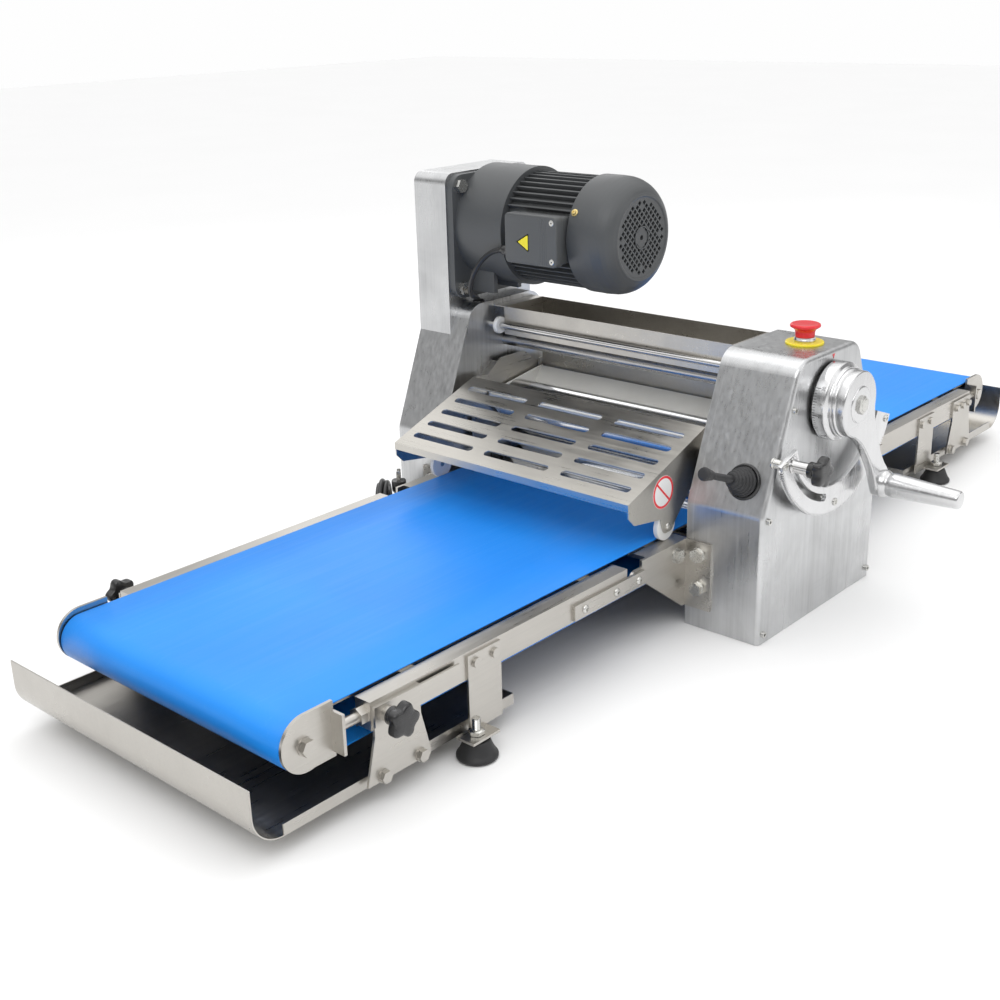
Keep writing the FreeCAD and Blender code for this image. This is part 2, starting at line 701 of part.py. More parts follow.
def toothed_sector():
    stretch = span(NEAR, "sector_back", "sector_back + sector_thick")
    wide = span(NEAR, "sector_back - 1", "sector_back + sector_thick + 1")
    plate = sector_piece("sector_disc", "sector_outer", "sector_start", "sector_sweep", stretch)
    centre = rod("sector_centre", "Y", (0, "shaft_z"), wide, "sector_inner")
    slot = cut("sector_slot", sector_piece("slot_disc", "slot_radius + slot_half", "slot_start", "slot_sweep", wide),
               rod("slot_centre", "Y", (0, "shaft_z"), wide, "slot_radius - slot_half"))
    posts = []
    for number, angle in enumerate((262, 298, 336)):
        reach = "(sector_inner + 8)"
        centre_x = "%s * cos(%d)" % (reach, angle)
        centre_z = "shaft_z + %s * sin(%d)" % (reach, angle)
        posts.append(rod("sector_post_%d" % number, "Y", (centre_x, centre_z),
                         span(NEAR, "operator_outer", "sector_back"), 5))
    node("toothed_sector", group("toothed_sector", cut("sector_plate", plate, centre, slot), *posts))


def star(name, side, centre, back, deep="star_deep"):
    """A six-lobed clamping knob that faces away from the middle plane along Y."""
    core = rod(name + "_core", "Y", centre, span(side, back, "%s + %s" % (back, deep)), "star_knob * 0.72")
    lobes = []
    for number in range(6):
        x = "%s + star_knob * 0.72 * cos(%d)" % (centre[0], 60 * number)
        z = "%s + star_knob * 0.72 * sin(%d)" % (centre[1], 60 * number)
        lobes.append(rod("%s_lobe_%d" % (name, number), "Y", (x, z),
                         span(side, "%s + 6" % back, "%s + %s" % (back, deep)), "star_knob * 0.28"))
    return join(name, core, *lobes)


def lever_stop():
    centre = ("slot_radius * cos(stop_angle)", "shaft_z + slot_radius * sin(stop_angle)")
    front = "sector_back + sector_thick + slide_fit"
    stud = rod("stop_stud", "Y", centre, span(NEAR, "sector_back - 3", front), "stop_stud")
    spacer = rod("stop_spacer", "Y", centre, span(NEAR, front, front + " + 23"), 8)
    knob = star("lever_stop_knob", NEAR, centre, front + " + 23")
    node("lever_stop", join("lever_stop", stud, spacer, knob))


# ---------------------------------------------------------------- guards and flour box

def guards():
    for end, word in SIDES:
        half = "cheek_inner + cheek_thick"
        top = [(at(end, "guard_rear_x"), "guard_rear_z"), (at(end, "guard_front_x"), "guard_front_z"),
               (at(end, "guard_front_x"), "guard_front_z - 10"),
               (at(end, "guard_front_x - guard_sheet"), "guard_front_z - 10"),
               (at(end, "guard_front_x - guard_sheet"), "guard_front_z - guard_sheet * 0.6"),
               (at(end, "guard_rear_x"), "guard_rear_z - guard_sheet")]
        slab = pad(word + "_guard_top", "XZ", top, both(half))
        cutters = []
        for row in range(5):
            x = at(end, "guard_slot_first_x + %d * guard_slot_pitch_x" % row)
            for column in (-1, 0, 1):
                y = "%d * guard_slot_pitch_y" % column
                tag = "%s_slot_%d_%d" % (word, row, column + 1)
                level = ("guard_front_z - 20", "guard_rear_z + 20")
                cutters.append(block(tag, ("%s - guard_slot" % x, "%s + guard_slot" % x),
                                     ("%s - guard_slot_half + guard_slot" % y,
                                      "%s + guard_slot_half - guard_slot" % y), level))
                for sign in ("-", "+"):
                    spot = "%s %s (guard_slot_half - guard_slot)" % (y, sign)
                    cutters.append(rod("%s_%s" % (tag, "low" if sign == "-" else "high"), "Z", (x, spot),
                                       level, "guard_slot"))
        sheet_top = cut(word + "_guard_sheet", slab, *cutters)
        cheeks = []
        for side, side_word in ((NEAR, "near"), (FAR, "far")):
            tab = "rail_top + 12"
            points = [(at(end, "guard_front_x - 0.2"), "guard_front_z - 1"),
                      (at(end, "guard_front_x - 1"), 182), (at(end, 250), 169), (at(end, "wheel_x + 16"), 160),
                      (at(end, "wheel_x + 8"), tab), (at(end, "wheel_x - 8"), tab), (at(end, "wheel_x - 18"), 150),
                      (at(end, 110), 200), (at(end, "guard_pin_x - 12"), "guard_pin_z - 12"),
                      (at(end, "guard_pin_x - 12"), "guard_pin_z + 12"),
                      (at(end, "guard_rear_x - 4"), "guard_rear_z - 0.4"),
                      (at(end, "guard_rear_x"), "guard_rear_z - 0.5")]
            cheeks.append(pad("%s_cheek_%s" % (word, side_word), "XZ", points,
                              span(side, "cheek_inner", half),
                              holes=[(at(end, "guard_pin_x"), "guard_pin_z", "guard_pin + run_fit")],
                              rounds=[((2, 4, 5, 8, 9), 5)]))
            wheel_z = "rail_top + 0.3 + wheel"
            cheeks.append(rod("%s_wheel_pin_%s" % (word, side_word), "Y", (at(end, "wheel_x"), wheel_z),
                              span(side, "wheel_inner", "cheek_inner + cheek_thick + 1.5"), "wheel_pin"))
        node(word + "_guard", join(word + "_guard", sheet_top, *cheeks))
        wheels = []
        for side, side_word in ((NEAR, "near"), (FAR, "far")):
            centre = (at(end, "wheel_x"), "rail_top + 0.3 + wheel")
            disc = rod("%s_wheel_disc_%s" % (word, side_word), "Y", centre,
                       span(side, "wheel_inner", "wheel_inner + wheel_wide"), "wheel")
            bore = rod("%s_wheel_bore_%s" % (word, side_word), "Y", centre,
                       span(side, "wheel_inner - 2", "wheel_inner + wheel_wide + 2"), "wheel_pin + run_fit")
            wheels.append(cut("%s_wheel_%s" % (word, side_word), disc, bore))
        node(word + "_guard_wheels", group(word + "_guard_wheels", *wheels))


def flour_box():
    outer = block("box_outer", ("box_low_x", "box_high_x"), both("box_half"), ("box_bottom", "box_rim"))
    inner = block("box_inner", ("box_low_x + box_sheet", "box_high_x - box_sheet"),
                  both("box_half - box_sheet"), ("box_bottom + box_sheet", "box_rim + 5"))
    tabs = [block("box_tab_" + word, ("box_low_x", "box_high_x"), span(side, "box_half", "inner_face - 0.5"),
                  ("box_rim - box_sheet", "box_rim")) for side, word in ((NEAR, "near"), (FAR, "far"))]
    node("flour_box", join("flour_box", cut("box_tub", outer, inner), *tabs))


# ---------------------------------------------------------------- conveyors

def belt_half(name, end, low, high, turn_x):
    """One end of a belt loop: a turn about turn_x and two straight runs to the fold."""
    rise = ("%s - belt_bend - belt_thick" % NOSE_Z, "belt_top")
    clear = ("%s - belt_bend" % NOSE_Z, "belt_top - belt_thick")
    centre = (at(end, turn_x), NOSE_Z)
    across = both("belt_half")
    wide = both("belt_half + 5")
    outer = join(name + "_outer", block(name + "_run", span(end, low, high), across, rise),
                 rod(name + "_turn", "Y", centre, across, "belt_bend + belt_thick"))
    inner_low, inner_high = (low, "%s + 5" % high) if turn_x == low else ("%s - 5" % low, high)
    inner = join(name + "_inner", block(name + "_hollow", span(end, inner_low, inner_high), wide, clear),
                 rod(name + "_hollow_turn", "Y", centre, wide, "belt_bend"))
    return node(name, cut(name, outer, inner))


def fixed_ends():
    """What stays on the housings at each end: brackets, the short bed and the belt's inner half."""
    plate_outer = "rail_outer - 0.3"
    plate_inner = "rail_outer - 0.3 - bracket_thick"
    heads = []
    for end, word in SIDES:
        pieces = []
        for side, side_word in ((NEAR, "near"), (FAR, "far")):
            name = "%s_bracket_%s" % (word, side_word)
            points = [(at(end, "foot_half"), "bracket_low"), (at(end, "foot_half + 9"), "bracket_low"),
                      (at(end, "fold_reach - 20"), "fold_z - 12"), (at(end, "fold_reach + 12"), "fold_z - 12"),
                      (at(end, "fold_reach + 12"), "fold_z + 12"), (at(end, "fold_reach - 12"), "fold_z + 12"),
                      (at(end, "fold_reach - 12"), "rail_top"), (at(end, "foot_half"), "rail_top")]
            web = pad(name + "_web", "XZ", points, span(side, plate_inner, plate_outer),
                      holes=[(at(end, "fold_reach"), "fold_z", "fold_pin + run_fit")],
                      rounds=[((3, 4), 11.5)])
            shelf = block(name + "_shelf", span(end, "foot_half", "flange_stop"),
                          span(side, "belt_half + 1.5", plate_inner), ("rail_top - bracket_thick", "rail_top"))
            flange = block(name + "_flange", span(end, "foot_half", "foot_half + bracket_thick"),
                           span(side, plate_outer, "bracket_flange"), ("bracket_low", "rail_top"))
            pieces.append(join(name, web, shelf, flange))
            for number, level in enumerate((59.4, 107.4)):
                spot = (at(side, 246), level)
                head = hexagon("%s_bolt_%d" % (name, number), "X", spot,
                               span(end, "foot_half + bracket_thick + 2", "foot_half + bracket_thick + 8.5"), 17)
                washer = rod("%s_washer_%d" % (name, number), "X", spot,
                             span(end, "foot_half + bracket_thick", "foot_half + bracket_thick + 2"), 10.5)
                heads.append(join("%s_bolt_set_%d" % (name, number), head, washer))
            heads.append(bolt("%s_clamp_bolt" % name, side, (at(end, 176), 108), plate_outer, 17, 6.5))
        low = "rail_top - 1.3 - cross_tube"
        bed_top = "belt_top - belt_thick - 0.3"
        tube = block(word + "_fixed_tube", span(end, 190, 210), both(plate_inner),
                     (low, "%s - bed_thick" % bed_top))
        bed = block(word + "_fixed_bed", span(end, 112, "fold_reach - belt_parting"),
                    both("belt_half - 2"), ("%s - bed_thick" % bed_top, bed_top))
        weld = join(word + "_fixed_bed_weld", tube, bed)
        node(word + "_brackets", group(word + "_brackets", weld, *pieces))
        belt_half(word + "_belt_fixed", end, "drive_reach", "fold_reach - belt_parting", "drive_reach")
    return heads


def tables():
    for end, word in SIDES:
        table_frame(end, word)
        nose(end, word)
        fittings(end, word)
        tray(end, word)
        belt_half(word + "_belt_table", end, "fold_reach + belt_parting", "nose_reach", "nose_reach")


def table_frame(end, word):
    pieces, fasteners = [], []
    bed_top = "belt_top - belt_thick - 0.3"
    for side, side_word in ((NEAR, "near"), (FAR, "far")):
        name = "%s_rail_%s" % (word, side_word)
        tube = block(name + "_tube", span(end, "rail_start", "rail_end"),
                     span(side, "rail_outer - rail_wide", "rail_outer"), ("rail_bottom", "rail_top"))
        hollow = block(name + "_hollow", span(end, "rail_start - 5", "rail_end - 3"),
                       span(side, "rail_outer - rail_wide + rail_wall", "rail_outer - rail_wall"),
                       ("rail_bottom + rail_wall", "rail_top - rail_wall"))
        rod_hole = rod(name + "_rod_hole", "X", (at(side, "rod_y"), "rod_z"),
                       span(end, "rail_end - 10", "rail_end + 5"), "tension_rod + run_fit")
        pieces.append(cut(name, tube, hollow, rod_hole))
        nut = hexagon(name + "_nut_blank", "X", (at(side, "rod_y"), "rod_z"),
                      span(end, "rail_end", "rail_end + 10"), 18)
        nut_hole = rod(name + "_nut_hole", "X", (at(side, "rod_y"), "rod_z"),
                       span(end, "rail_end - 5", "rail_end + 15"), "tension_rod + run_fit")
        fasteners.append(cut(name + "_nut", nut, nut_hole))
        strap = block(name + "_strap", span(end, "strap_near", "strap_far"),
                      span(side, "rail_outer", "rail_outer + strap_thick"),
                      ("fold_z - strap_half", "fold_z + strap_half"))
        pivot = rod(name + "_pivot", "Y", (at(end, "fold_reach"), "fold_z"),
                    span(side, "rail_outer - 0.3 - bracket_thick - 2", "rail_outer + strap_thick + 1"), "fold_pin")
        fasteners.append(join(name + "_strap_set", strap, pivot))
    for number, low in enumerate((330, 640)):
        pieces.append(block("%s_cross_tube_%d" % (word, number), span(end, low, "%d + cross_tube" % low),
                            both("rail_outer - rail_wide"),
                            ("rail_top - 1.3 - cross_tube", "%s - bed_thick" % bed_top)))
    pieces.append(block(word + "_bed", span(end, "fold_reach + belt_parting + 6", "nose_reach - belt_bend - 8"),
                        both("belt_half - 2"), ("%s - bed_thick" % bed_top, bed_top)))
    node(word + "_table_frame", group(word + "_table_frame", join(word + "_weldment", *pieces), *fasteners))


def nose(end, word):
    """End plates with their tension rods, the fixed axle with its bolts, and the nose roller."""
    centre = (at(end, "nose_reach"), NOSE_Z)
    plate_outer = "nose_plate_inner + nose_plate_thick"
    pieces = [rod(word + "_nose_axle", "Y", centre, both("nose_plate_inner"), "nose_shaft")]
    for side, side_word in ((NEAR, "near"), (FAR, "far")):
        name = "%s_nose_%s" % (word, side_word)
        reach = span(side, "nose_plate_inner", plate_outer)
        disc = rod(name + "_disc", "Y", (at(end, "nose_reach - 2"), NOSE_Z + " + nose_plate_rise"), reach,
                   "nose_plate")
        tail = block(name + "_tail", span(end, "nose_flange_x", "nose_reach - 2"), reach,
                     (NOSE_Z + " + nose_plate_rise - nose_plate + 1", NOSE_Z + " + nose_plate_rise + nose_plate"))
        flange = block(name + "_flange", span(end, "nose_flange_x", "nose_flange_x + nose_plate_thick"),
                       span(side, "nose_plate_inner", "rail_outer - 2"), (NOSE_Z + " - 22", NOSE_Z + " + 26"))
        screw = rod(name + "_rod", "X", (at(side, "rod_y"), "rod_z"),
                    span(end, "rod_tail", "nose_flange_x"), "tension_rod")
        pieces.append(join(name, disc, tail, flange, screw))
        pieces.append(bolt(name + "_bolt", side, centre, plate_outer, 17, 6.5))
    node(word + "_nose_plates", group(word + "_nose_plates", *pieces))
    barrel = rod(word + "_nose_barrel", "Y", centre, both("belt_half"), "belt_bend - roll_clear")
    bore = rod(word + "_nose_bore", "Y", centre, both("belt_half + 5"), "nose_shaft + run_fit")
    node(word + "_nose_roller", cut(word + "_nose_roller", barrel, bore))


def fittings(end, word):
    """Foot plates, tray brackets and their bolts on the rails' outer faces."""
    pieces = []
    plate = "rail_outer + fitting_thick"
    for side, side_word in ((NEAR, "near"), (FAR, "far")):
        name = "%s_%s" % (word, side_word)
        leg = block(name + "_leg", span(end, "foot_plate_low_x", "foot_plate_high_x"),
                    span(side, "rail_outer", plate), ("foot_flange_z", "rail_top - 4"))
        toe = block(name + "_toe", span(end, "foot_x - 24", "foot_x + 20"),
                    span(side, "rail_outer", "foot_y + 14"),
                    ("foot_flange_z", "foot_flange_z + fitting_thick"))
        stem_hole = rod(name + "_stem_hole", "Z", (at(end, "foot_x"), at(side, "foot_y")),
                        ("foot_flange_z - 5", "foot_flange_z + fitting_thick + 5"), "foot_stem + run_fit")
        pieces.append(cut(name + "_foot_plate", join(name + "_foot_blank", leg, toe), stem_hole))
        points = [(at(end, 742), "tray_floor + 5"), (at(end, 648), "tray_floor + 5"), (at(end, 648), 38),
                  (at(end, 660), 85), (at(end, 660), "rail_top - 5"), (at(end, "rail_end - 2"), "rail_top - 5"),
                  (at(end, "rail_end - 2"), 85)]
        pieces.append(pad(name + "_tray_bracket", "XZ", points, span(side, "rail_outer", plate)))
        for number, x in enumerate((719, 663)):
            spot = (at(end, x), "tray_bolt_z")
            pieces.append(rod("%s_tray_spacer_%d" % (name, number), "Y", spot,
                              span(side, "tray_half", "rail_outer"), 5))
            pieces.append(bolt("%s_tray_bolt_%d" % (name, number), side, spot, plate, 13, 5))
        for number, x in enumerate((540, 571)):
            pieces.append(rod("%s_leg_screw_%d" % (name, number), "Y", (at(end, x), 110),
                              span(side, plate, plate + " + 3.5"), 6))
        if end == FRONT:
            slide_outer = plate + " + fitting_thick"
            pieces.append(block(name + "_slide_plate", span(end, 600, "rail_end - 1"),
                                span(side, plate, slide_outer), ("fold_z - 7", "rail_top - 5")))
            knob = (at(end, "knob_x"), "knob_z")
            pieces.append(rod(name + "_knob_washer", "Y", knob, span(side, slide_outer, "knob_back - 0.3"), 9))
            node("%s_tension_knob_%s" % (word, side_word),
                 star("%s_tension_knob_%s" % (word, side_word), side, knob, "knob_back"))
        else:
            for number, x in enumerate((672, 695, 718)):
                pieces.append(bolt("%s_rail_bolt_%d" % (name, number), side, (at(end, x), "knob_z"), plate, 10, 4))
    node(word + "_table_fittings", group(word + "_table_fittings", *pieces))
    feet = []
    for side, side_word in ((NEAR, "near"), (FAR, "far")):
        spot = (at(end, "foot_x"), at(side, "foot_y"))
        pad_cone = cone("%s_foot_cone_%s" % (word, side_word), "Z", spot, (0, "foot_high"), "foot_pad", "foot_top")
        stem = rod("%s_foot_stem_%s" % (word, side_word), "Z", spot, ("foot_high - 2", "foot_flange_z + 24"),
                   "foot_stem")
        feet.append(join("%s_foot_%s" % (word, side_word), pad_cone, stem))
    node(word + "_feet", group(word + "_feet", *feet))


def tray(end, word):
    across = both("tray_half")
    name = word + "_tray"
    lip_out = TRAY_TURN + " + tray_turn"
    centre = (at(end, TRAY_TURN), "tray_floor + tray_turn")
    floor = block(name + "_floor", span(end, "tray_start", TRAY_TURN), across,
                  ("tray_floor", "tray_floor + tray_sheet"))
    tube = cut(name + "_tube", rod(name + "_bend_outer", "Y", centre, across, "tray_turn"),
               rod(name + "_bend_inner", "Y", centre, both("tray_half + 5"), "tray_turn - tray_sheet"))
    quarter = block(name + "_quarter", span(end, TRAY_TURN, lip_out), across,
                    ("tray_floor", "tray_floor + tray_turn"))
    bend = doc.addObject("Part::Common", name + "_bend")
    bend.Base, bend.Tool = tube, quarter
    lip = block(name + "_lip", span(end, "%s - tray_sheet" % lip_out, lip_out), across,
                ("tray_floor + tray_turn", "tray_lip_z"))
    pieces = [floor, bend, lip]
    for side, side_word in ((NEAR, "near"), (FAR, "far")):
        pieces.append(block("%s_side_%s" % (name, side_word), span(end, "tray_start", TRAY_TURN),
                            span(side, "tray_half - tray_sheet", "tray_half"), ("tray_floor", "tray_side_z")))
    pieces.append(block(name + "_end", span(end, "tray_start", "tray_start + tray_sheet"), across,
                        ("tray_floor", "tray_side_z")))
    node(name, join(name, *pieces))


# ---------------------------------------------------------------- drive

def gear_motor():
    axis = (0, "motor_z")
    half = "flange_half"
    points = [("-" + half, "output_z - " + half), (half, "output_z - " + half), (half, "output_z + " + half),
              ("-" + half, "output_z + " + half)]
    flange = pad("gear_flange", "XZ", points, span(FAR, "tower_inner - flange_thick", "tower_inner"),
                 rounds=[((0, 1, 2, 3), "flange_round")])
    case = rod("gear_drum", "Y", axis, ("gearcase_end", "tower_inner - flange_thick"), "gearcase")
    ribs = [block("gear_rib_%d" % number, (x - 4, x + 4), ("tower_inner - 60", "tower_inner - flange_thick"),
                  ("output_z - flange_half + 10", "motor_z")) for number, x in enumerate((-54, 0, 54))]
    bore = rod("gear_bore", "Y", (0, "output_z"), ("tower_inner - 25", "tower_inner + 5"),
               "output_shaft + run_fit")
    node("gearcase", cut("gearcase", join("gearcase_blank", flange, case, *ribs), bore))
    frame = rod("stator", "Y", axis, ("frame_end", "gearcase_end"), "motor_frame")
    fins = []
    for number in range(28):
        fin = block("fin_%d" % number, ("motor_frame - 4", "fin_tip"), ("frame_end + 4", "gearcase_end"),
                    ("-fin_thick / 2", "fin_thick / 2"))
        angle = 360.0 * number / 28
        turn = FreeCAD.Rotation(Y_AXIS, -angle)
        fin.Placement = FreeCAD.Placement(FreeCAD.Vector(), turn)
        cosine, sine = math.cos(math.radians(angle)), math.sin(math.radians(angle))
        bind(fin, "Placement.Base.x", "(motor_frame - 4) * %.6f + fin_thick / 2 * %.6f" % (cosine, sine))
        bind(fin, "Placement.Base.z", "motor_z + (motor_frame - 4) * %.6f - fin_thick / 2 * %.6f" % (sine, cosine))
        bind(fin, "Placement.Base.y", "frame_end + 4")
        fins.append(fin)
    shaft_hole = rod("fan_shaft_hole", "Y", axis, ("frame_end - 5", "frame_end + 30"), 8.05)
    node("motor_frame", cut("motor_frame", join("finned_frame", frame, *fins), shaft_hole))
    cowl()
    hub = rod("fan_hub", "Y", axis, ("cowl_turn", "frame_end + 25"), 8)
    disc = rod("fan_disc", "Y", axis, ("cowl_turn + 4", "cowl_turn + 22"), "fan")
    node("motor_fan", join("motor_fan", hub, disc))
    shaft = rod("output_bar", "Y", (0, "output_z"), ("tower_inner - 20", "chain_y + chain_wide + 4"), "output_shaft")
    wheel = rod("output_sprocket", "Y", (0, "output_z"), ("chain_y", "chain_y + chain_wide"), "sprocket")
    node("drive_sprocket", join("drive_sprocket", shaft, wheel))
    heads = []
    for number, (x, z) in enumerate(((-1, -1), (1, -1), (1, 1), (-1, 1))):
        spot = (at(x, "flange_bolt"), "output_z + %d * flange_bolt" % z)
        heads.append(hexagon("flange_bolt_%d" % number, "Y", spot,
                             ("tower_inner - flange_thick - 8", "tower_inner - flange_thick"), 18))
    base = block("terminal_base", ("-motor_frame - 14", "-motor_frame + 6"), ("frame_end + 5", "frame_end + 98"),
                 ("motor_z - 34", "motor_z + 34"))
    lid = block("terminal_lid", ("-motor_frame - 32", "-motor_frame - 14"), ("frame_end + 4", "frame_end + 100"),
                ("motor_z - 36", "motor_z + 36"))
    bed = rod("terminal_bed", "Y", axis, ("frame_end - 5", "gearcase_end + 5"), "fin_tip + 0.3")
    node("terminal_box", group("terminal_box", cut("terminal_base_cut", base, bed), cut("terminal_lid_cut", lid, bed)))
    return heads


def cowl():
    """The fan cowl: a drum with a rounded rim and a closed face, turned about the motor's axis."""
    body = doc.addObject("PartDesign::Body", "fan_cowl")
    wall = "cowl_wall"
    points = [("cowl - %s" % wall, "frame_end + 3"), ("cowl", "frame_end + 3"), ("cowl", "cowl_turn"),
              ("cowl - 5", "cowl_turn - 13"), ("cowl_face + 4", "cowl_end"), (0, "cowl_end"),
              (0, "cowl_end + %s" % wall), ("cowl_face + 2", "cowl_end + %s" % wall),
              ("cowl - 5 - %s" % wall, "cowl_turn - 12"), ("cowl - %s" % wall, "cowl_turn")]
    sketch = draw(body, "XY", points, 0)
    turned = body.newObject("PartDesign::Revolution", "cowl_turned")
    turned.Profile = (sketch, [""])
    turned.ReferenceAxis = (sketch, ["V_Axis"])
    turned.Angle = 360
    bind(body, "Placement.Base.z", "motor_z")
    node("fan_cowl", body)


# ---------------------------------------------------------------- controls

def controls():
    spot = ("stop_x", "stop_y")
    ring = rod("stop_ring_disc", "Z", spot, ("roof_z", "roof_z + 3"), "stop_ring")
    bore = rod("stop_ring_bore", "Z", spot, ("roof_z - 1", "roof_z + 4"), 11.5)
    collar = rod("stop_collar", "Z", spot, ("roof_z + 3", "roof_z + 9"), 14.5)
    collar_bore = rod("stop_collar_bore", "Z", spot, ("roof_z + 2", "roof_z + 10"), 11.5)
    node("estop_base", cut("estop_base", join("estop_blank", ring, collar), bore, collar_bore))
    stem = rod("stop_stem", "Z", spot, ("roof_z + 6", "roof_z + 17"), 11.4)
    cap = rod("stop_cap", "Z", spot, ("roof_z + 16", "roof_z + 27"), "stop_button")
    node("estop_button", join("estop_button", stem, cap))
    lean = math.degrees(math.atan2(value("foot_half") - value("roof_half"), value("roof_z") - value("shoulder_z")))
    turn = FreeCAD.Rotation(Y_AXIS, -90 + lean)
    face_x = "-(foot_half - %s * (stick_z - shoulder_z))" % SLOPE
    normal_x, normal_z = -math.cos(math.radians(lean)), math.sin(math.radians(lean))

    def spindle(name, low, high, low_radius, high_radius):
        obj = doc.addObject("Part::Cone", name)
        bind(obj, "Radius1", low_radius)
        bind(obj, "Radius2", high_radius)
        bind(obj, "Height", "(%s) - (%s)" % (high, low))
        where = ("%s + (%s) * %.6f" % (face_x, low, normal_x), "stick_y",
                 "stick_z + (%s) * %.6f" % (low, normal_z))
        return place(obj, where, turn)

    collar_ring = spindle("stick_collar", "0", "4", "boot + 4", "boot + 2")
    collar_hole = spindle("stick_collar_hole", "-1", "5", "boot", "boot + 0.01")
    node("joystick_bezel", cut("joystick_bezel", collar_ring, collar_hole))
    ball = doc.addObject("Part::Sphere", "stick_ball")
    bind(ball, "Radius", "stick_pivot - 0.3")
    place(ball, ("%s + stick_pivot * %.6f" % (face_x, normal_x), "stick_y",
                 "stick_z + stick_pivot * %.6f" % normal_z))
    boot = spindle("stick_boot", "stick_pivot", "boot_long", "boot - 4", "stick + 4")
    shaft = spindle("stick_shaft", "boot_long - 2", "stick_long - 22", "stick", "stick + 0.01")
    grip = spindle("stick_grip", "stick_long - 24", "stick_long", "stick + 1.5", "stick + 4")
    node("joystick", join("joystick", ball, boot, shaft, grip))


# ---------------------------------------------------------------- cords

def cord_tube(route, radius):
    """A round tube along straight runs joined by tangent arcs; prints each arc's radius."""
    count = len(route)
    edges, start = [], route[0]
    for i in range(1, count - 1):
        before, after = route[i] - route[i - 1], route[i + 1] - route[i]
        turn = before.getAngle(after)
        shorter = min(before.Length, after.Length)
        trim = 0.45 * shorter
        print("arc %d radius %.1f" % (i, trim / math.tan(turn / 2)))
        inward, outward = before.normalize(), after.normalize()
        entry, leave = route[i] - inward * trim, route[i] + outward * trim
        middle = arc_middle(entry, leave, route[i], turn, trim)
        edges.append(Part.LineSegment(start, entry).toShape())
        edges.append(Part.Arc(entry, middle, leave).toShape())
        start = leave
    edges.append(Part.LineSegment(start, route[-1]).toShape())
    wire = Part.Wire(edges)
    section = Part.Wire(Part.Circle(route[0], route[1] - route[0], radius).toShape())
    tube = Part.Wire(wire).makePipeShell([section], True, False)
    return tube


def arc_middle(entry, leave, corner, turn, trim):
    """The middle point of the arc that is tangent at entry and leave."""
    radius = trim / math.tan(turn / 2)
    towards = (entry + leave) * 0.5 - corner
    reach = radius / math.cos(turn / 2)
    centre = corner + towards.normalize() * reach
    return centre + (corner - centre).normalize() * radius


def solid_feature(name, shape):
    feature = doc.addObject("Part::Feature", name)
    feature.Shape = shape
    return feature


# The mains lead's runs before and after its coil: along and across the coil's plane, and up.
MAINS_ROUTE = [(40.1, -24.2, 36), (32, -17, 34.5), (24, -11.5, 29.5), (16, -8.5, 22.5), (8, -7.2, 16.5),
               (-1, -6.8, 12.5)]
TAIL_ROUTE = [(48, -6.5, 58.5), (48.3, -8.5, 43), (48, -11.5, 26), (40.8, -15.5, 13.2), (28.2, -19, 6.2),
              (13.8, -22, 6.2), (1.2, -24.2, 13.2), (-6, -25.2, 26), (-6.6, -25.2, 44), (-6, -25.2, 66),
              (-6, -25.2, 90)]
# The motor's lead, from its terminal box to the housing's roof, in the part's own frame.
LEAD_ROUTE = [(-92, 131, 462), (-92, 148, 462), (-94, 164, 457.5), (-98, 178, 447), (-101, 189, 432),
              (-101, 199, 414.5), (-96, 208, 398), (-85, 217, 386), (-69, 225, 379.5), (-55, 231.5, 375),
              (-47, 236, 367)]


def turned_block(name, turn, along_coil, across_coil, lengths, widths, levels):
    """A block set square to the coil's plane, from a point that is given along and across that plane."""
    obj = block(name, lengths, widths, levels)
    obj.Placement = FreeCAD.Placement(FreeCAD.Vector(), turn)
    length = "(%s + %s)" % (along_coil, lengths[0])
    width = "(%s + %s)" % (across_coil, widths[0])
    bind(obj, "Placement.Base.x", "coil_x + %s * cos(coil_turn) - %s * sin(coil_turn)" % (length, width))
    bind(obj, "Placement.Base.y", "coil_y + %s * sin(coil_turn) + %s * cos(coil_turn)" % (length, width))
    bind(obj, "Placement.Base.z", levels[0])
    return obj


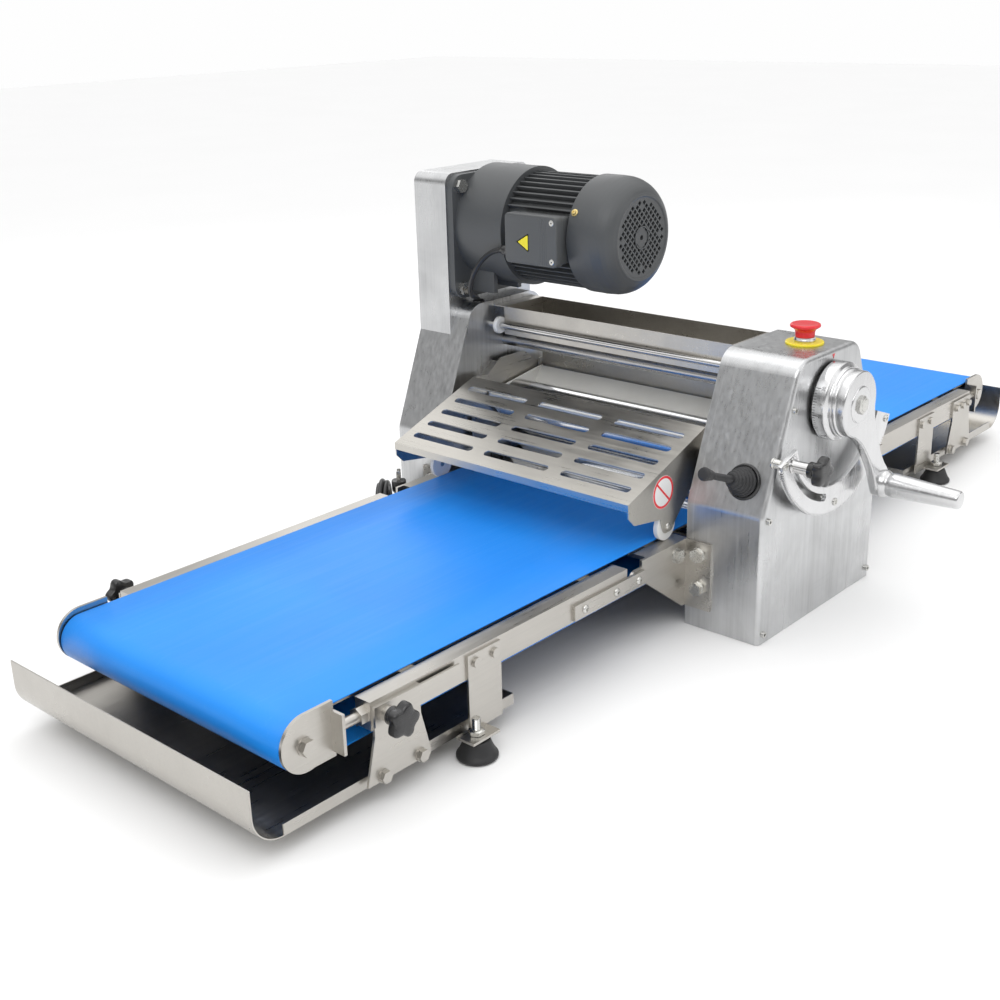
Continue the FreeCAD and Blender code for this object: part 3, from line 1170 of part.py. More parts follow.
def cords():
    radius = value("cord")
    turn = FreeCAD.Rotation(Z_AXIS, value("coil_turn"))
    foot = FreeCAD.Vector(value("coil_x"), value("coil_y"), 0)
    tubes = []
    for route in (MAINS_ROUTE, TAIL_ROUTE):
        points = [foot + turn.multVec(FreeCAD.Vector(*point)) for point in route]
        tubes.append(solid_feature("mains_tube_%d" % len(tubes), cord_tube(points, radius)))
    past_tip = block("past_gland_tip", ("gland_x", "gland_x + 10"), ("gland_y - 10", "gland_y + 10"),
                     ("gland_z - 10", "gland_z + 10"))
    node("mains_cord", group("mains_cord", cut("mains_lead", tubes[0], past_tip), tubes[1]))
    ring = doc.addObject("Part::Torus", "coil_ring")
    bind(ring, "Radius1", "coil")
    bind(ring, "Radius2", "coil_bundle")
    place(ring, ("coil_x", "coil_y", "coil + coil_bundle"), turn * FreeCAD.Rotation(X_AXIS, 90))
    node("mains_coil", ring)
    centre = ("gland_y", "gland_z")
    nut = hexagon("gland_nut", "X", centre, ("-foot_half - 6", "-foot_half"), 20)
    taper = cone("gland_taper", "X", centre, ("gland_x", "-foot_half - 6"), "cord + 1.4", 8)
    node("mains_gland", join("mains_gland", nut, taper))
    body = turned_block("plug_body", turn, "plug_along", "plug_across", both("plug_half"), both("plug_half"),
                        ("plug_z", "plug_z + plug_high"))
    prongs = [turned_block("plug_prong_%d" % number, turn, "plug_along", "plug_across",
                           ("%s - 0.75" % shift, "%s + 0.75" % shift), both("3"),
                           ("plug_z + plug_high - 1", "plug_z + plug_high + 16"))
              for number, shift in enumerate((-6.35, 6.35))]
    node("mains_plug", join("mains_plug", body, *prongs))
    lead = solid_feature("motor_lead_tube", cord_tube([FreeCAD.Vector(*point) for point in LEAD_ROUTE], radius))
    below_roof = block("below_roof", (-60, -30), ("inner_face", "inner_face + 30"), ("roof_z - 10", "roof_z"))
    node("motor_lead", cut("motor_lead", lead, below_roof))


# ---------------------------------------------------------------- build

bolts = operator_side()
motor_side()
cross_members(side_plates())
rollers()
lift_carriage()
gap_controls()
toothed_sector()
lever_stop()
guards()
flour_box()
bolts += fixed_ends()
tables()
bolts += gear_motor()
node("housing_bolts", group("housing_bolts", *bolts))
controls()
cords()
doc.recompute()

for obj in doc.Objects:
    broken = {"Invalid", "Error"} & set(obj.State)
    if broken:
        raise RuntimeError("%s is %s" % (obj.Name, ", ".join(sorted(broken))))
for label, obj in nodes.items():
    if obj.Shape.isNull() or not obj.Shape.isValid() or not obj.Shape.Solids:
        raise RuntimeError("%s has no sound solid" % label)
os.makedirs("parts", exist_ok=True)
for label, obj in nodes.items():
    obj.Shape.exportStep("parts/%s.step" % label)
print("%d sub-parts written" % len(nodes))
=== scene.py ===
"""Looks of a bench-top dough sheeter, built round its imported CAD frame.

X runs along the two conveyors, -Y is the operator's side and +Y the motor's side, Z is up from the bench.
Lengths are written in millimetres and scaled by MM where a mesh or a curve is made.
"""
import math

import bmesh
import bpy
from mathutils import Matrix, Vector


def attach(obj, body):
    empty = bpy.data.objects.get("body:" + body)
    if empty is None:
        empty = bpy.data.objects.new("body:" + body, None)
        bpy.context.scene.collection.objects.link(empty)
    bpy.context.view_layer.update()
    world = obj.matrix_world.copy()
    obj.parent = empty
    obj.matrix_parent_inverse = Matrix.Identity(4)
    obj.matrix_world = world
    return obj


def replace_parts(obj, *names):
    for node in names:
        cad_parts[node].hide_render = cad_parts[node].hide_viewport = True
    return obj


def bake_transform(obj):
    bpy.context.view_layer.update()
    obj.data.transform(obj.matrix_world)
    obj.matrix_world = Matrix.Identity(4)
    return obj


MM = 0.001
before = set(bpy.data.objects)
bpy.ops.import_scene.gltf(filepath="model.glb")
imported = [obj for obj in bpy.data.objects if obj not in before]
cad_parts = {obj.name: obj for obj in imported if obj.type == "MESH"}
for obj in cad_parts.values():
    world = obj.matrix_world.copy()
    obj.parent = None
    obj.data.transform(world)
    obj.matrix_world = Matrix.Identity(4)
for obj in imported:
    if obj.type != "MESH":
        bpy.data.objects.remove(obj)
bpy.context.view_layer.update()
scene = bpy.context.scene
scene.view_settings.view_transform = "Standard"


# ---------------------------------------------------------------- camera

AZIMUTH, ELEVATION, ROLL = (math.radians(a) for a in (-47.842, 20.502, -1.484))
CAMERA_AT = Vector((-1.56549, -1.17143, 0.81514))


def make_camera():
    back = Vector((math.sin(AZIMUTH) * math.cos(ELEVATION), -math.cos(AZIMUTH) * math.cos(ELEVATION),
                   math.sin(ELEVATION)))
    right = (-back).cross(Vector((0, 0, 1))).normalized()
    up = right.cross(-back)
    side = math.cos(ROLL) * right + math.sin(ROLL) * up
    top = -math.sin(ROLL) * right + math.cos(ROLL) * up
    data = bpy.data.cameras.new("camera")
    data.lens, data.sensor_width, data.clip_end = 49.23, 36.0, 100.0
    camera = bpy.data.objects.new("camera", data)
    camera.matrix_world = Matrix.Translation(CAMERA_AT) @ Matrix((side, top, back)).transposed().to_4x4()
    scene.collection.objects.link(camera)
    scene.camera = camera


make_camera()


# ---------------------------------------------------------------- materials

EVEN = (1, 1, 1)                    # noise that isn't stretched
ALONG, UPWARD, ACROSS = (0.04, 1, 1), (1, 1, 0.035), (1, 0.04, 1)


class Shader:
    """A Principled material whose nodes are added one call at a time."""

    def __init__(self, name, **sockets):
        self.material = bpy.data.materials.new(name)
        self.material.use_nodes = True
        self.tree = self.material.node_tree
        self.surface = self.tree.nodes["Principled BSDF"]
        for key, value in sockets.items():
            self.surface.inputs[key.replace("_", " ")].default_value = value
        self.where = self.node("ShaderNodeTexCoord").outputs["Object"]

    def node(self, kind, inputs=(), **settings):
        node = self.tree.nodes.new(kind)
        for key, value in settings.items():
            setattr(node, key, value)
        for key, value in dict(inputs).items():
            if isinstance(value, bpy.types.NodeSocket):
                self.tree.links.new(value, node.inputs[key])
            else:
                node.inputs[key].default_value = value
        return node

    def noise(self, stretch, scale, detail=3.0, rough=0.5, distort=0.0):
        """Noise in metres, stretched along the axes whose factor is small."""
        place = self.node("ShaderNodeMapping", {"Vector": self.where, "Scale": stretch})
        return self.node("ShaderNodeTexNoise", {"Vector": place.outputs[0], "Scale": scale, "Detail": detail,
                                                "Roughness": rough, "Distortion": distort}).outputs["Fac"]

    def spread(self, fac, low, high, to_low=0.0, to_high=1.0):
        """A value between two levels, stretched to another pair of levels."""
        return self.node("ShaderNodeMapRange", {"Value": fac, "From Min": low, "From Max": high,
                                                "To Min": to_low, "To Max": to_high}).outputs[0]

    def mix(self, fac, one, two):
        node = self.node("ShaderNodeMix", {"Factor": fac}, data_type="RGBA")
        for socket, value in ((6, one), (7, two)):
            if isinstance(value, bpy.types.NodeSocket):
                self.tree.links.new(value, node.inputs[socket])
            else:
                node.inputs[socket].default_value = (*value, 1)
        return node.outputs[2]

    def math(self, operation, one, two):
        return self.node("ShaderNodeMath", {0: one, 1: two}, operation=operation).outputs[0]

    def edges(self, radius):
        """1 on the edges of a piece and 0 on its faces."""
        bevel = self.node("ShaderNodeBevel", {"Radius": radius}, samples=4)
        normal = self.node("ShaderNodeNewGeometry").outputs["Normal"]
        dot = self.node("ShaderNodeVectorMath", {0: bevel.outputs[0], 1: normal}, operation="DOT_PRODUCT")
        return self.spread(dot.outputs["Value"], 0.99, 0.8)

    def bump(self, *heights):
        """Bumps laid over each other, each given as a height and a depth in metres."""
        last = None
        for height, depth in heights:
            inputs = {"Height": height, "Distance": depth, "Strength": 1.0}
            if last is not None:
                inputs["Normal"] = last
            last = self.node("ShaderNodeBump", inputs).outputs[0]
        self.tree.links.new(last, self.surface.inputs["Normal"])

    def paint(self, colour, rough):
        self.tree.links.new(colour, self.surface.inputs["Base Color"])
        self.tree.links.new(rough, self.surface.inputs["Roughness"])
        return self.material


def metal(name, colour, rough, grain, depth=0.00002, patches=0.5, edge_highlight=0.0015, scratches=0.6, fine=260.0):
    """Bare metal with a grain and cloudy patches; its edges may carry a painted highlight and its faces be
    scratched.
    """
    m = Shader(name, Metallic=1.0)
    streak = m.noise(grain, fine, 4.0, 0.65)
    cloud = m.noise(EVEN, 9.0, 4.0, 0.6, 0.4)
    stain = m.noise(EVEN, 38.0, 5.0, 0.65, 1.2)
    dark = tuple(c * (1 - 0.30 * patches) for c in colour)
    pale = tuple(min(1.0, c * 1.12) for c in colour)
    base = m.mix(m.spread(cloud, 0.35, 0.68), colour, dark)
    base = m.mix(m.math("MULTIPLY", m.spread(stain, 0.50, 0.85), 0.16 * patches), base,
                 tuple(c * 0.7 for c in colour))
    band = m.noise(tuple(g * (0.4 if g < 1 else 1) for g in grain), 34.0, 3.0, 0.6)
    base = m.mix(m.math("MULTIPLY", m.spread(band, 0.48, 0.72), 0.55 * patches), base,
                 tuple(c * 0.55 for c in colour))
    base = m.mix(m.math("MULTIPLY", m.spread(streak, 0.35, 0.7), 0.5), base, pale)
    # Painted highlight: the edges are mixed towards a paler tone of the metal.
    if edge_highlight:
        base = m.mix(m.math("MULTIPLY", m.edges(edge_highlight), 0.7), base, pale)
    gloss = m.math("ADD", m.spread(cloud, 0.3, 0.7, rough * 0.85, rough * 1.25),
                   m.spread(streak, 0.3, 0.75, -0.05, 0.09))
    heights = [(streak, depth)]
    if scratches:
        line = m.noise(tuple(g * 0.6 + 0.02 for g in reversed(grain)), 140.0, 2.0, 0.5, 0.6)
        scratch = m.math("MULTIPLY", m.spread(line, 0.665, 0.70), scratches)
        gloss = m.math("ADD", gloss, m.math("MULTIPLY", scratch, 0.12))
        heights.append((scratch, -depth * scratches))
    m.bump(*heights)
    return m.paint(base, gloss)


def coated(name, colour, rough, bumps, dust=0.25, coat=0.0):
    """Paint, plastic or rubber with a moulded or sprayed skin, dust, and a painted highlight on its edges."""
    m = Shader(name, Coat_Weight=coat)
    cloud = m.noise(EVEN, 14.0, 4.0, 0.6, 0.3)
    speck = m.noise(EVEN, 900.0, 2.0, 0.6)
    pale = tuple(min(1.0, c * 1.25 + 0.012) for c in colour)
    base = m.mix(m.math("MULTIPLY", m.spread(cloud, 0.35, 0.7), dust), colour, pale)
    base = m.mix(m.math("MULTIPLY", m.spread(speck, 0.62, 0.72), dust), base, pale)
    # Painted highlight: the edges are mixed towards a paler tone.
    edge = tuple(min(1.0, c * 1.5 + 0.03) for c in colour)
    base = m.mix(m.math("MULTIPLY", m.edges(0.0012), 0.45), base, edge)
    m.bump(*((m.noise(EVEN, scale, 3.0), depth) for scale, depth in bumps))
    return m.paint(base, m.spread(cloud, 0.3, 0.7, rough * 0.88, rough * 1.15))


def belt_material():
    """Smooth blue polyurethane with a faint cloth weave and scuffs along its run.

    What faces down is painted nearly black, against a blue glow on the floor; a real belt is blue all round.
    """
    m = Shader("belt_blue", Coat_Weight=0.12, Coat_Roughness=0.35, Specular_IOR_Level=0.45)
    cloud = m.noise(EVEN, 3.0, 3.0, 0.5)
    scuff = m.noise((0.05, 1, 1), 120.0, 4.0, 0.6, 0.3)
    weave = []
    for axis in ("X", "Y"):
        weave.append(m.node("ShaderNodeTexWave", {"Vector": m.where, "Scale": 260.0, "Distortion": 0.6,
                                                  "Detail": 1.0}, bands_direction=axis).outputs["Fac"])
    cloth = m.math("MULTIPLY", *weave)
    base = m.mix(m.spread(cloud, 0.3, 0.7), (0.004, 0.245, 0.86), (0.010, 0.300, 0.95))
    base = m.mix(m.math("MULTIPLY", m.spread(scuff, 0.60, 0.78), 0.28), base, (0.10, 0.40, 0.94))
    base = m.mix(m.math("MULTIPLY", cloth, 0.10), base, (0.001, 0.15, 0.62))
    # Painted shade: faces turned down, read from the world normal, are darkened nearly black.
    normal = m.node("ShaderNodeNewGeometry").outputs["Normal"]
    height = m.node("ShaderNodeSeparateXYZ", {"Vector": normal}).outputs["Z"]
    base = m.mix(m.spread(height, -0.55, -0.85), base, (0.003, 0.03, 0.11))
    m.bump((cloth, 0.00003), (scuff, 0.00002))
    return m.paint(base, m.spread(scuff, 0.3, 0.7, 0.36, 0.50))


CAST = metal("cast_aluminium", (0.60, 0.605, 0.61), 0.30, UPWARD, 0.000008, 0.80, 0.003, 0.6, 200.0)
STAINLESS = metal("stainless_satin", (0.53, 0.51, 0.475), 0.30, ALONG, 0.0, 0.16, None, 0.0, 260.0)
GUARD_STEEL = metal("guard_stainless", (0.56, 0.54, 0.50), 0.30, ACROSS, 0.0, 0.16, None, 0.0, 260.0)
CHROME = metal("ground_bar", (0.66, 0.655, 0.65), 0.14, EVEN, 0.000002, 0.2, 0.001, 0.2, 500.0)
ROLLER = metal("chromed_roller", (0.66, 0.665, 0.67), 0.12, (1, 0.03, 1), 0.000001, 0.15, 0.001, 0.2, 300.0)
BEARING = metal("bearing_steel", (0.50, 0.49, 0.48), 0.24, (1, 0.05, 1), 0.00001, 0.4, 0.001, 0.5, 300.0)
POLISHED = metal("polished_aluminium", (0.70, 0.70, 0.705), 0.17, EVEN, 0.000003, 0.3, 0.0015, 0.3, 260.0)
LEVER = metal("lever_aluminium", (0.68, 0.68, 0.685), 0.20, UPWARD, 0.000006, 0.35, 0.0015, 0.4, 220.0)
IRON = metal("block_iron", (0.36, 0.35, 0.34), 0.42, EVEN, 0.00003, 0.6, 0.0015, 0.4, 120.0)
ZINC = metal("zinc_screws", (0.64, 0.635, 0.61), 0.24, EVEN, 0.00001, 0.5, 0.0006, 0.3, 350.0)
BRASS = metal("brass_screw", (0.86, 0.68, 0.30), 0.28, EVEN, 0.00001, 0.5, 0.0006, 0.3, 350.0)
ENGRAVED = coated("engraved_ink", (0.02, 0.02, 0.022), 0.5, ((400.0, 0.00001),), 0.1)
MOTOR_PAINT = coated("motor_paint", (0.070, 0.074, 0.077), 0.42, ((260.0, 0.00006), (60.0, 0.00008)), 0.35)
MOTOR_BOX = coated("terminal_paint", (0.084, 0.088, 0.090), 0.48, ((320.0, 0.00005),), 0.35)
SCRAPER = coated("scraper_nylon", (0.80, 0.79, 0.75), 0.42, ((200.0, 0.00003),), 0.3)
NYLON = coated("wheel_nylon", (0.86, 0.865, 0.86), 0.34, ((180.0, 0.00003),), 0.25, 0.1)
CORD = coated("cord_sheath", (0.012, 0.012, 0.013), 0.36, ((500.0, 0.00003),), 0.3, 0.1)
BLACK = coated("black_plastic", (0.014, 0.014, 0.015), 0.27, ((220.0, 0.00003),), 0.25, 0.25)
BOOT = coated("boot_rubber", (0.022, 0.022, 0.024), 0.55, ((300.0, 0.00004),), 0.5)
RUBBER = coated("foot_rubber", (0.016, 0.016, 0.017), 0.50, ((160.0, 0.00008),), 0.5)
YELLOW = coated("yellow_plate", (0.88, 0.72, 0.02), 0.36, ((200.0, 0.00002),), 0.15, 0.2)
RED = coated("red_cap", (0.72, 0.012, 0.022), 0.30, ((200.0, 0.00002),), 0.15, 0.3)
WHITE_FILM = coated("white_film", (0.82, 0.82, 0.82), 0.32, ((200.0, 0.00001),), 0.1, 0.3)
BELT = belt_material()

NODE_MATERIALS = (
    (CAST, ("operator_cover", "operator_frame_plate", "motor_housing", "motor_cover")),
    (CHROME, ("cross_bars",)), (ROLLER, ("lower_roller", "upper_roller")),
    (BEARING, ("roller_bearings", "front_drive_roller", "rear_drive_roller", "front_nose_roller",
               "rear_nose_roller", "drive_sprocket", "gap_shaft")),
    (IRON, ("bearing_blocks",)), (ZINC, ("housing_bolts",)), (SCRAPER, ("upper_scrapers", "lower_scrapers")),
    (MOTOR_PAINT, ("gearcase", "motor_frame")), (NYLON, ("front_guard_wheels", "rear_guard_wheels")),
    (BLACK, ("motor_fan",)), (GUARD_STEEL, ("front_guard", "rear_guard")),
)


def dress_nodes():
    """Every carried-over CAD node gets its procedural material; the rest are stainless sheet and tube."""
    chosen = {node: material for material, nodes in NODE_MATERIALS for node in nodes}
    for name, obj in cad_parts.items():
        obj.data.materials.clear()
        obj.data.materials.append(chosen.get(name, STAINLESS))


dress_nodes()


# ---------------------------------------------------------------- mesh tools

def axes(origin, along):
    """A frame whose Z runs along a direction, from a point in millimetres."""
    z = Vector(along).normalized()
    x = Vector((0, 0, 1)).cross(z) if abs(z.z) < 0.9 else Vector((1, 0, 0))
    x.normalize()
    place = Matrix((x, z.cross(x), z)).transposed().to_4x4()
    place.translation = Vector(origin) * MM
    return place


def finish_piece(name, mesh, material, body, sharp=38):
    mesh.materials.clear()
    mesh.materials.append(material)
    mesh.polygons.foreach_set("use_smooth", [True] * len(mesh.polygons))
    mesh.set_sharp_from_angle(angle=math.radians(sharp))
    obj = bpy.data.objects.new(name, mesh)
    scene.collection.objects.link(obj)
    if body:
        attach(obj, body)
    return obj


def from_bmesh(name, bm, material, body, sharp=38):
    bmesh.ops.recalc_face_normals(bm, faces=bm.faces)
    mesh = bpy.data.meshes.new(name)
    bm.to_mesh(mesh)
    bm.free()
    return finish_piece(name, mesh, material, body, sharp)


def soften(points, radius, closed=False):
    """A profile whose corners are each rounded by three points; a corner may carry its own radius."""
    result = []
    count = len(points)
    for number, point in enumerate(points):
        here = Vector(point[:2])
        size = point[2] if len(point) > 2 else radius
        if not closed and number in (0, count - 1) or not size:
            result.append(tuple(here))
            continue
        before, after = Vector(points[number - 1][:2]) - here, Vector(points[(number + 1) % count][:2]) - here
        reach = min(size, before.length * 0.45, after.length * 0.45)
        start, end = here + before.normalized() * reach, here + after.normalized() * reach
        middle = start * 0.25 + here * 0.5 + end * 0.25
        result += [tuple(start), tuple(middle), tuple(end)]
    return result


def revolve(bm, profile, place, steps=72, wave=None, closed=False):
    """Turns (radius, height) points about the Z of place. wave scales the radius round the turn."""
    rows = []
    for radius, height in profile:
        if radius < 1e-6:
            rows.append([bm.verts.new(place @ Vector((0, 0, height * MM)))])
            continue
        row = []
        for step in range(steps):
            angle = 2 * math.pi * step / steps
            size = radius * (wave(angle, height) if wave else 1) * MM
            row.append(bm.verts.new(place @ Vector((size * math.cos(angle), size * math.sin(angle),
                                                    height * MM))))
        rows.append(row)
    for low, high in zip(rows, rows[1:] + rows[:1] if closed else rows[1:]):
        for step in range(steps):
            corners = [low[step % len(low)], low[(step + 1) % len(low)], high[(step + 1) % len(high)],
                       high[step % len(high)]]
            face = list(dict.fromkeys(corners))
            if len(face) > 2:
                bm.faces.new(face)


def turned(name, profile, origin, along, material, body, steps=72, wave=None, closed=False, soft=0.6):
    bm = bmesh.new()
    revolve(bm, soften(profile, soft, closed), axes(origin, along), steps, wave, closed)
    return from_bmesh(name, bm, material, body)


def hexagon(bm, place, across, low, high):
    """A bolt's head: six flats whose outer corners are turned off."""
    corner = across / 2 / math.cos(math.pi / 6)
    rows = []
    for radius, height in ((corner, low), (corner, high - across * 0.06), (across / 2 * 0.94, high)):
        rows.append([bm.verts.new(place @ Vector((radius * math.cos(a) * MM, radius * math.sin(a) * MM,
                                                  height * MM)))
                     for a in (math.pi * k / 3 for k in range(6))])
    for one, two in zip(rows, rows[1:]):
        for k in range(6):
            bm.faces.new((one[k], one[(k + 1) % 6], two[(k + 1) % 6], two[k]))
    bm.faces.new(rows[-1])
    bm.faces.new(list(reversed(rows[0])))


def plate_mesh(name, loops, low, high, place, soft=0.5):
    """A flat plate with rounded edges, filled between 2D outlines in millimetres, low to high along Z."""
    curve = bpy.data.curves.new(name, "CURVE")
    curve.dimensions, curve.fill_mode = "2D", "BOTH"
    curve.extrude = (high - low) / 2 * MM - soft * MM
    curve.bevel_depth, curve.bevel_resolution, curve.offset = soft * MM, 2, -soft * MM
    for loop in loops:
        spline = curve.splines.new("POLY")
        spline.points.add(len(loop) - 1)
        for point, (x, y) in zip(spline.points, loop):
            point.co = (x * MM, y * MM, 0, 1)
        spline.use_cyclic_u = True
    holder = bpy.data.objects.new(name, curve)
    scene.collection.objects.link(holder)
    bpy.context.view_layer.update()
    mesh = bpy.data.meshes.new_from_object(holder.evaluated_get(bpy.context.evaluated_depsgraph_get()))
    bpy.data.objects.remove(holder)
    bpy.data.curves.remove(curve)
    mesh.transform(place @ Matrix.Translation((0, 0, (low + high) / 2 * MM)))
    bm = bmesh.new()
    bm.from_mesh(mesh)
    bmesh.ops.remove_doubles(bm, verts=bm.verts, dist=1e-6)
    bm.to_mesh(mesh)
    bm.free()
    return mesh


def plate(name, loops, low, high, place, material, body, soft=0.5):
    return finish_piece(name, plate_mesh(name, loops, low, high, place, soft), material, body)


def arc(centre, radius, start, end, count):
    """Points on an arc, angles in degrees."""
    return [(centre[0] + radius * math.cos(math.radians(start + (end - start) * k / (count - 1))),
             centre[1] + radius * math.sin(math.radians(start + (end - start) * k / (count - 1))))
            for k in range(count)]


def polar(centre, radius, degrees):
    return (centre[0] + radius * math.cos(math.radians(degrees)),
            centre[1] + radius * math.sin(math.radians(degrees)))


def facing(y):
    """A frame on a plane across Y: its X runs along the part's X, its Y up, and its Z out to the operator."""
    place = Matrix(((1, 0, 0), (0, 0, 1), (0, -1, 0))).transposed().to_4x4()
    place.translation = Vector((0, y * MM, 0))
    return place


def without(obj, tool):
    """Cuts one mesh out of another and keeps the result as the first one's mesh."""
    cutter = obj.modifiers.new("cut", "BOOLEAN")
    cutter.operation, cutter.object, cutter.solver = "DIFFERENCE", tool, "EXACT"
    bpy.context.view_layer.update()
    mesh = bpy.data.meshes.new_from_object(obj.evaluated_get(bpy.context.evaluated_depsgraph_get()))
    obj.modifiers.clear()
    obj.data = mesh
    bpy.data.objects.remove(tool)


# ---------------------------------------------------------------- cords

CORD_WIDE = 7.5
COIL_FOOT, COIL_TURN = Vector((-227, 281, 0)), Matrix.Rotation(math.radians(42.2), 4, "Z")
COIL_RADIUS, COIL_Z, STRAND, TURNS_END = 48 / 0.975, 58.4, 6.64, -1800
LEAD_IN = [(40.1, -24.2, 36), (32, -17, 34.5), (24, -11.5, 29.5), (16, -8.5, 22.5), (8, -7.2, 16.5),
           (-1, -6.8, 12.5)]
TAIL = [(48, -6.5, 58.5), (48.3, -8.5, 43), (48, -11.5, 26), (40.8, -15.5, 13.2), (28.2, -19, 6.2),
        (13.8, -22, 6.2), (1.2, -24.2, 13.2), (-6, -25.2, 26), (-6.6, -25.2, 44), (-6, -25.2, 66),
        (-6, -25.2, 90)]
MOTOR_LEAD = [(-92, 131, 462), (-92, 148, 462), (-94, 164, 457.5), (-98, 178, 447), (-101, 189, 432),
              (-101, 199, 414.5), (-96, 208, 398), (-85, 217, 386), (-69, 225, 379.5), (-55, 231.5, 375),
              (-47, 236, 367)]


def coil_points():
    """The coil's turns: the lead moves once round the bundle's section, so the turns lie side by side."""
    points, step = [], 25.2
    count = int((TURNS_END + 108) / -step)
    for k in range(count + 1):
        angle = math.radians(-108 + (TURNS_END + 108) * k / count)
        phase = math.radians(-90 - 340 * k / count)
        radius = COIL_RADIUS + STRAND * math.cos(phase)
        points.append((radius * math.cos(angle), STRAND * math.sin(phase), COIL_Z + radius * math.sin(angle)))
    return points


def cord_curve(name, points):
    curve = bpy.data.curves.new(name, "CURVE")
    curve.dimensions, curve.bevel_depth, curve.bevel_resolution = "3D", CORD_WIDE / 2 * MM, 5
    curve.use_fill_caps, curve.resolution_u = True, 8
    spline = curve.splines.new("NURBS")
    spline.points.add(len(points) - 1)
    for point, place in zip(spline.points, points):
        point.co = (*(Vector(place) * MM), 1)
    spline.order_u, spline.use_endpoint_u = 3, True
    curve.materials.append(CORD)
    obj = bpy.data.objects.new(name, curve)
    scene.collection.objects.link(obj)
    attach(obj, "base")
    return obj


def coil_place(point):
    return COIL_FOOT + COIL_TURN @ Vector(point)


def cords():
    lead = cord_curve("mains_lead", [coil_place(p) for p in LEAD_IN + coil_points() + TAIL])
    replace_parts(lead, "mains_cord", "mains_coil")
    middle = coil_place((-6, -25.2, 0))
    bm = bmesh.new()
    profile = soften([(0, 90.2), (5.6, 90.2), (6.4, 94), (7.6, 98), (11.5, 103), (11.5, 118.8), (0, 118.8)],
                     1.6)

    def square(angle, height):
        if height < 97:
            return 1
        corner = 1 / max(abs(math.cos(angle)), abs(math.sin(angle))) - 1
        return 1 + 0.22 * min(1, (height - 97) / 6) * corner - 0.04

    revolve(bm, profile, axes(middle, (0, 0, 1)) @ COIL_TURN, 64, square)
    body = from_bmesh("plug_body", bm, BLACK, "base")
    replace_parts(body, "mains_plug")
    for number, shift in enumerate((-6.35, 6.35)):
        spot = coil_place((-6 + shift, -25.2, 0))
        place = Matrix.Translation(spot * MM) @ COIL_TURN @ Matrix.Rotation(math.pi / 2, 4, "Y")
        outline = soften([(-118, -3), (-135, -3, 1.6), (-135, 3, 1.6), (-118, 3)], 0.3, True)
        plate("plug_prong_%d" % number, [outline], -0.75, 0.75, place, ZINC, "base",
                            0.25)
    motor = cord_curve("motor_flex", MOTOR_LEAD)
    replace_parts(motor, "motor_lead")


cords()


# ---------------------------------------------------------------- belts

BELT_HALF, BELT_THICK, BELT_TOP, BELT_AXIS = 200, 2, 129.5, 100
DRIVE_X, NOSE_X, FOLD_LOW, FOLD_HIGH, SPLIT_X = 78, 803, 243, 287, 700
OUTER = BELT_TOP - BELT_AXIS


def belt_strip(name, side, path):
    """A closed band: path holds (x, z, normal x, normal z) along the outer face; ends are capped."""
    bm = bmesh.new()
    edge = 0.6
    section = [(-BELT_HALF, BELT_THICK - edge), (-BELT_HALF, edge), (-BELT_HALF + edge, 0)]
    section += [(y, 0) for y in (-120, -40, 40, 120)]
    section += [(BELT_HALF - edge, 0), (BELT_HALF, edge), (BELT_HALF, BELT_THICK - edge),
                (BELT_HALF - edge, BELT_THICK)]
    section += [(y, BELT_THICK) for y in (120, 40, -40, -120)] + [(-BELT_HALF + edge, BELT_THICK)]
    rows = []
    for x, z, nx, nz in path:
        rows.append([bm.verts.new((side * (x - nx * d) * MM, y * MM, (z - nz * d) * MM)) for y, d in section])
    count = len(section)
    for one, two in zip(rows, rows[1:]):
        for k in range(count):
            bm.faces.new((one[k], one[(k + 1) % count], two[(k + 1) % count], two[k]))
    bm.faces.new(rows[0])
    bm.faces.new(list(reversed(rows[-1])))
    obj = from_bmesh(name, bm, BELT, None, 50)
    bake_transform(obj)
    return obj


def straight(start, end):
    count = max(2, int(abs(end - start) / 6))
    return [start + (end - start) * k / count for k in range(count + 1)]


def belt_turn(x, first, steps):
    """Half a turn round a roller at x, from the first angle on, without its two ends."""
    angles = (math.radians(first + 180 * k / steps) for k in range(1, steps))
    return [(x + OUTER * math.cos(a), BELT_AXIS + OUTER * math.sin(a), math.cos(a), math.sin(a))
            for a in angles]


def belts():
    low = BELT_AXIS - OUTER
    for side, word in ((-1, "front"), (1, "rear")):
        top = [(x, BELT_TOP, 0, 1) for x in straight(SPLIT_X, DRIVE_X)]
        under = [(x, low, 0, -1) for x in straight(DRIVE_X, SPLIT_X)]
        run = belt_strip(word + "_belt", side, top + belt_turn(DRIVE_X, 90, 24) + under)
        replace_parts(run, word + "_belt_fixed", word + "_belt_table")
        under = [(x, low, 0, -1) for x in straight(SPLIT_X, NOSE_X)]
        top = [(x, BELT_TOP, 0, 1) for x in straight(NOSE_X, SPLIT_X)]
        end = belt_strip(word + "_belt_nose", side, under + belt_turn(NOSE_X, -90, 32) + top)
        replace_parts(end, word + "_belt_table")


belts()


# ---------------------------------------------------------------- gear motor

MOTOR_Z = 483


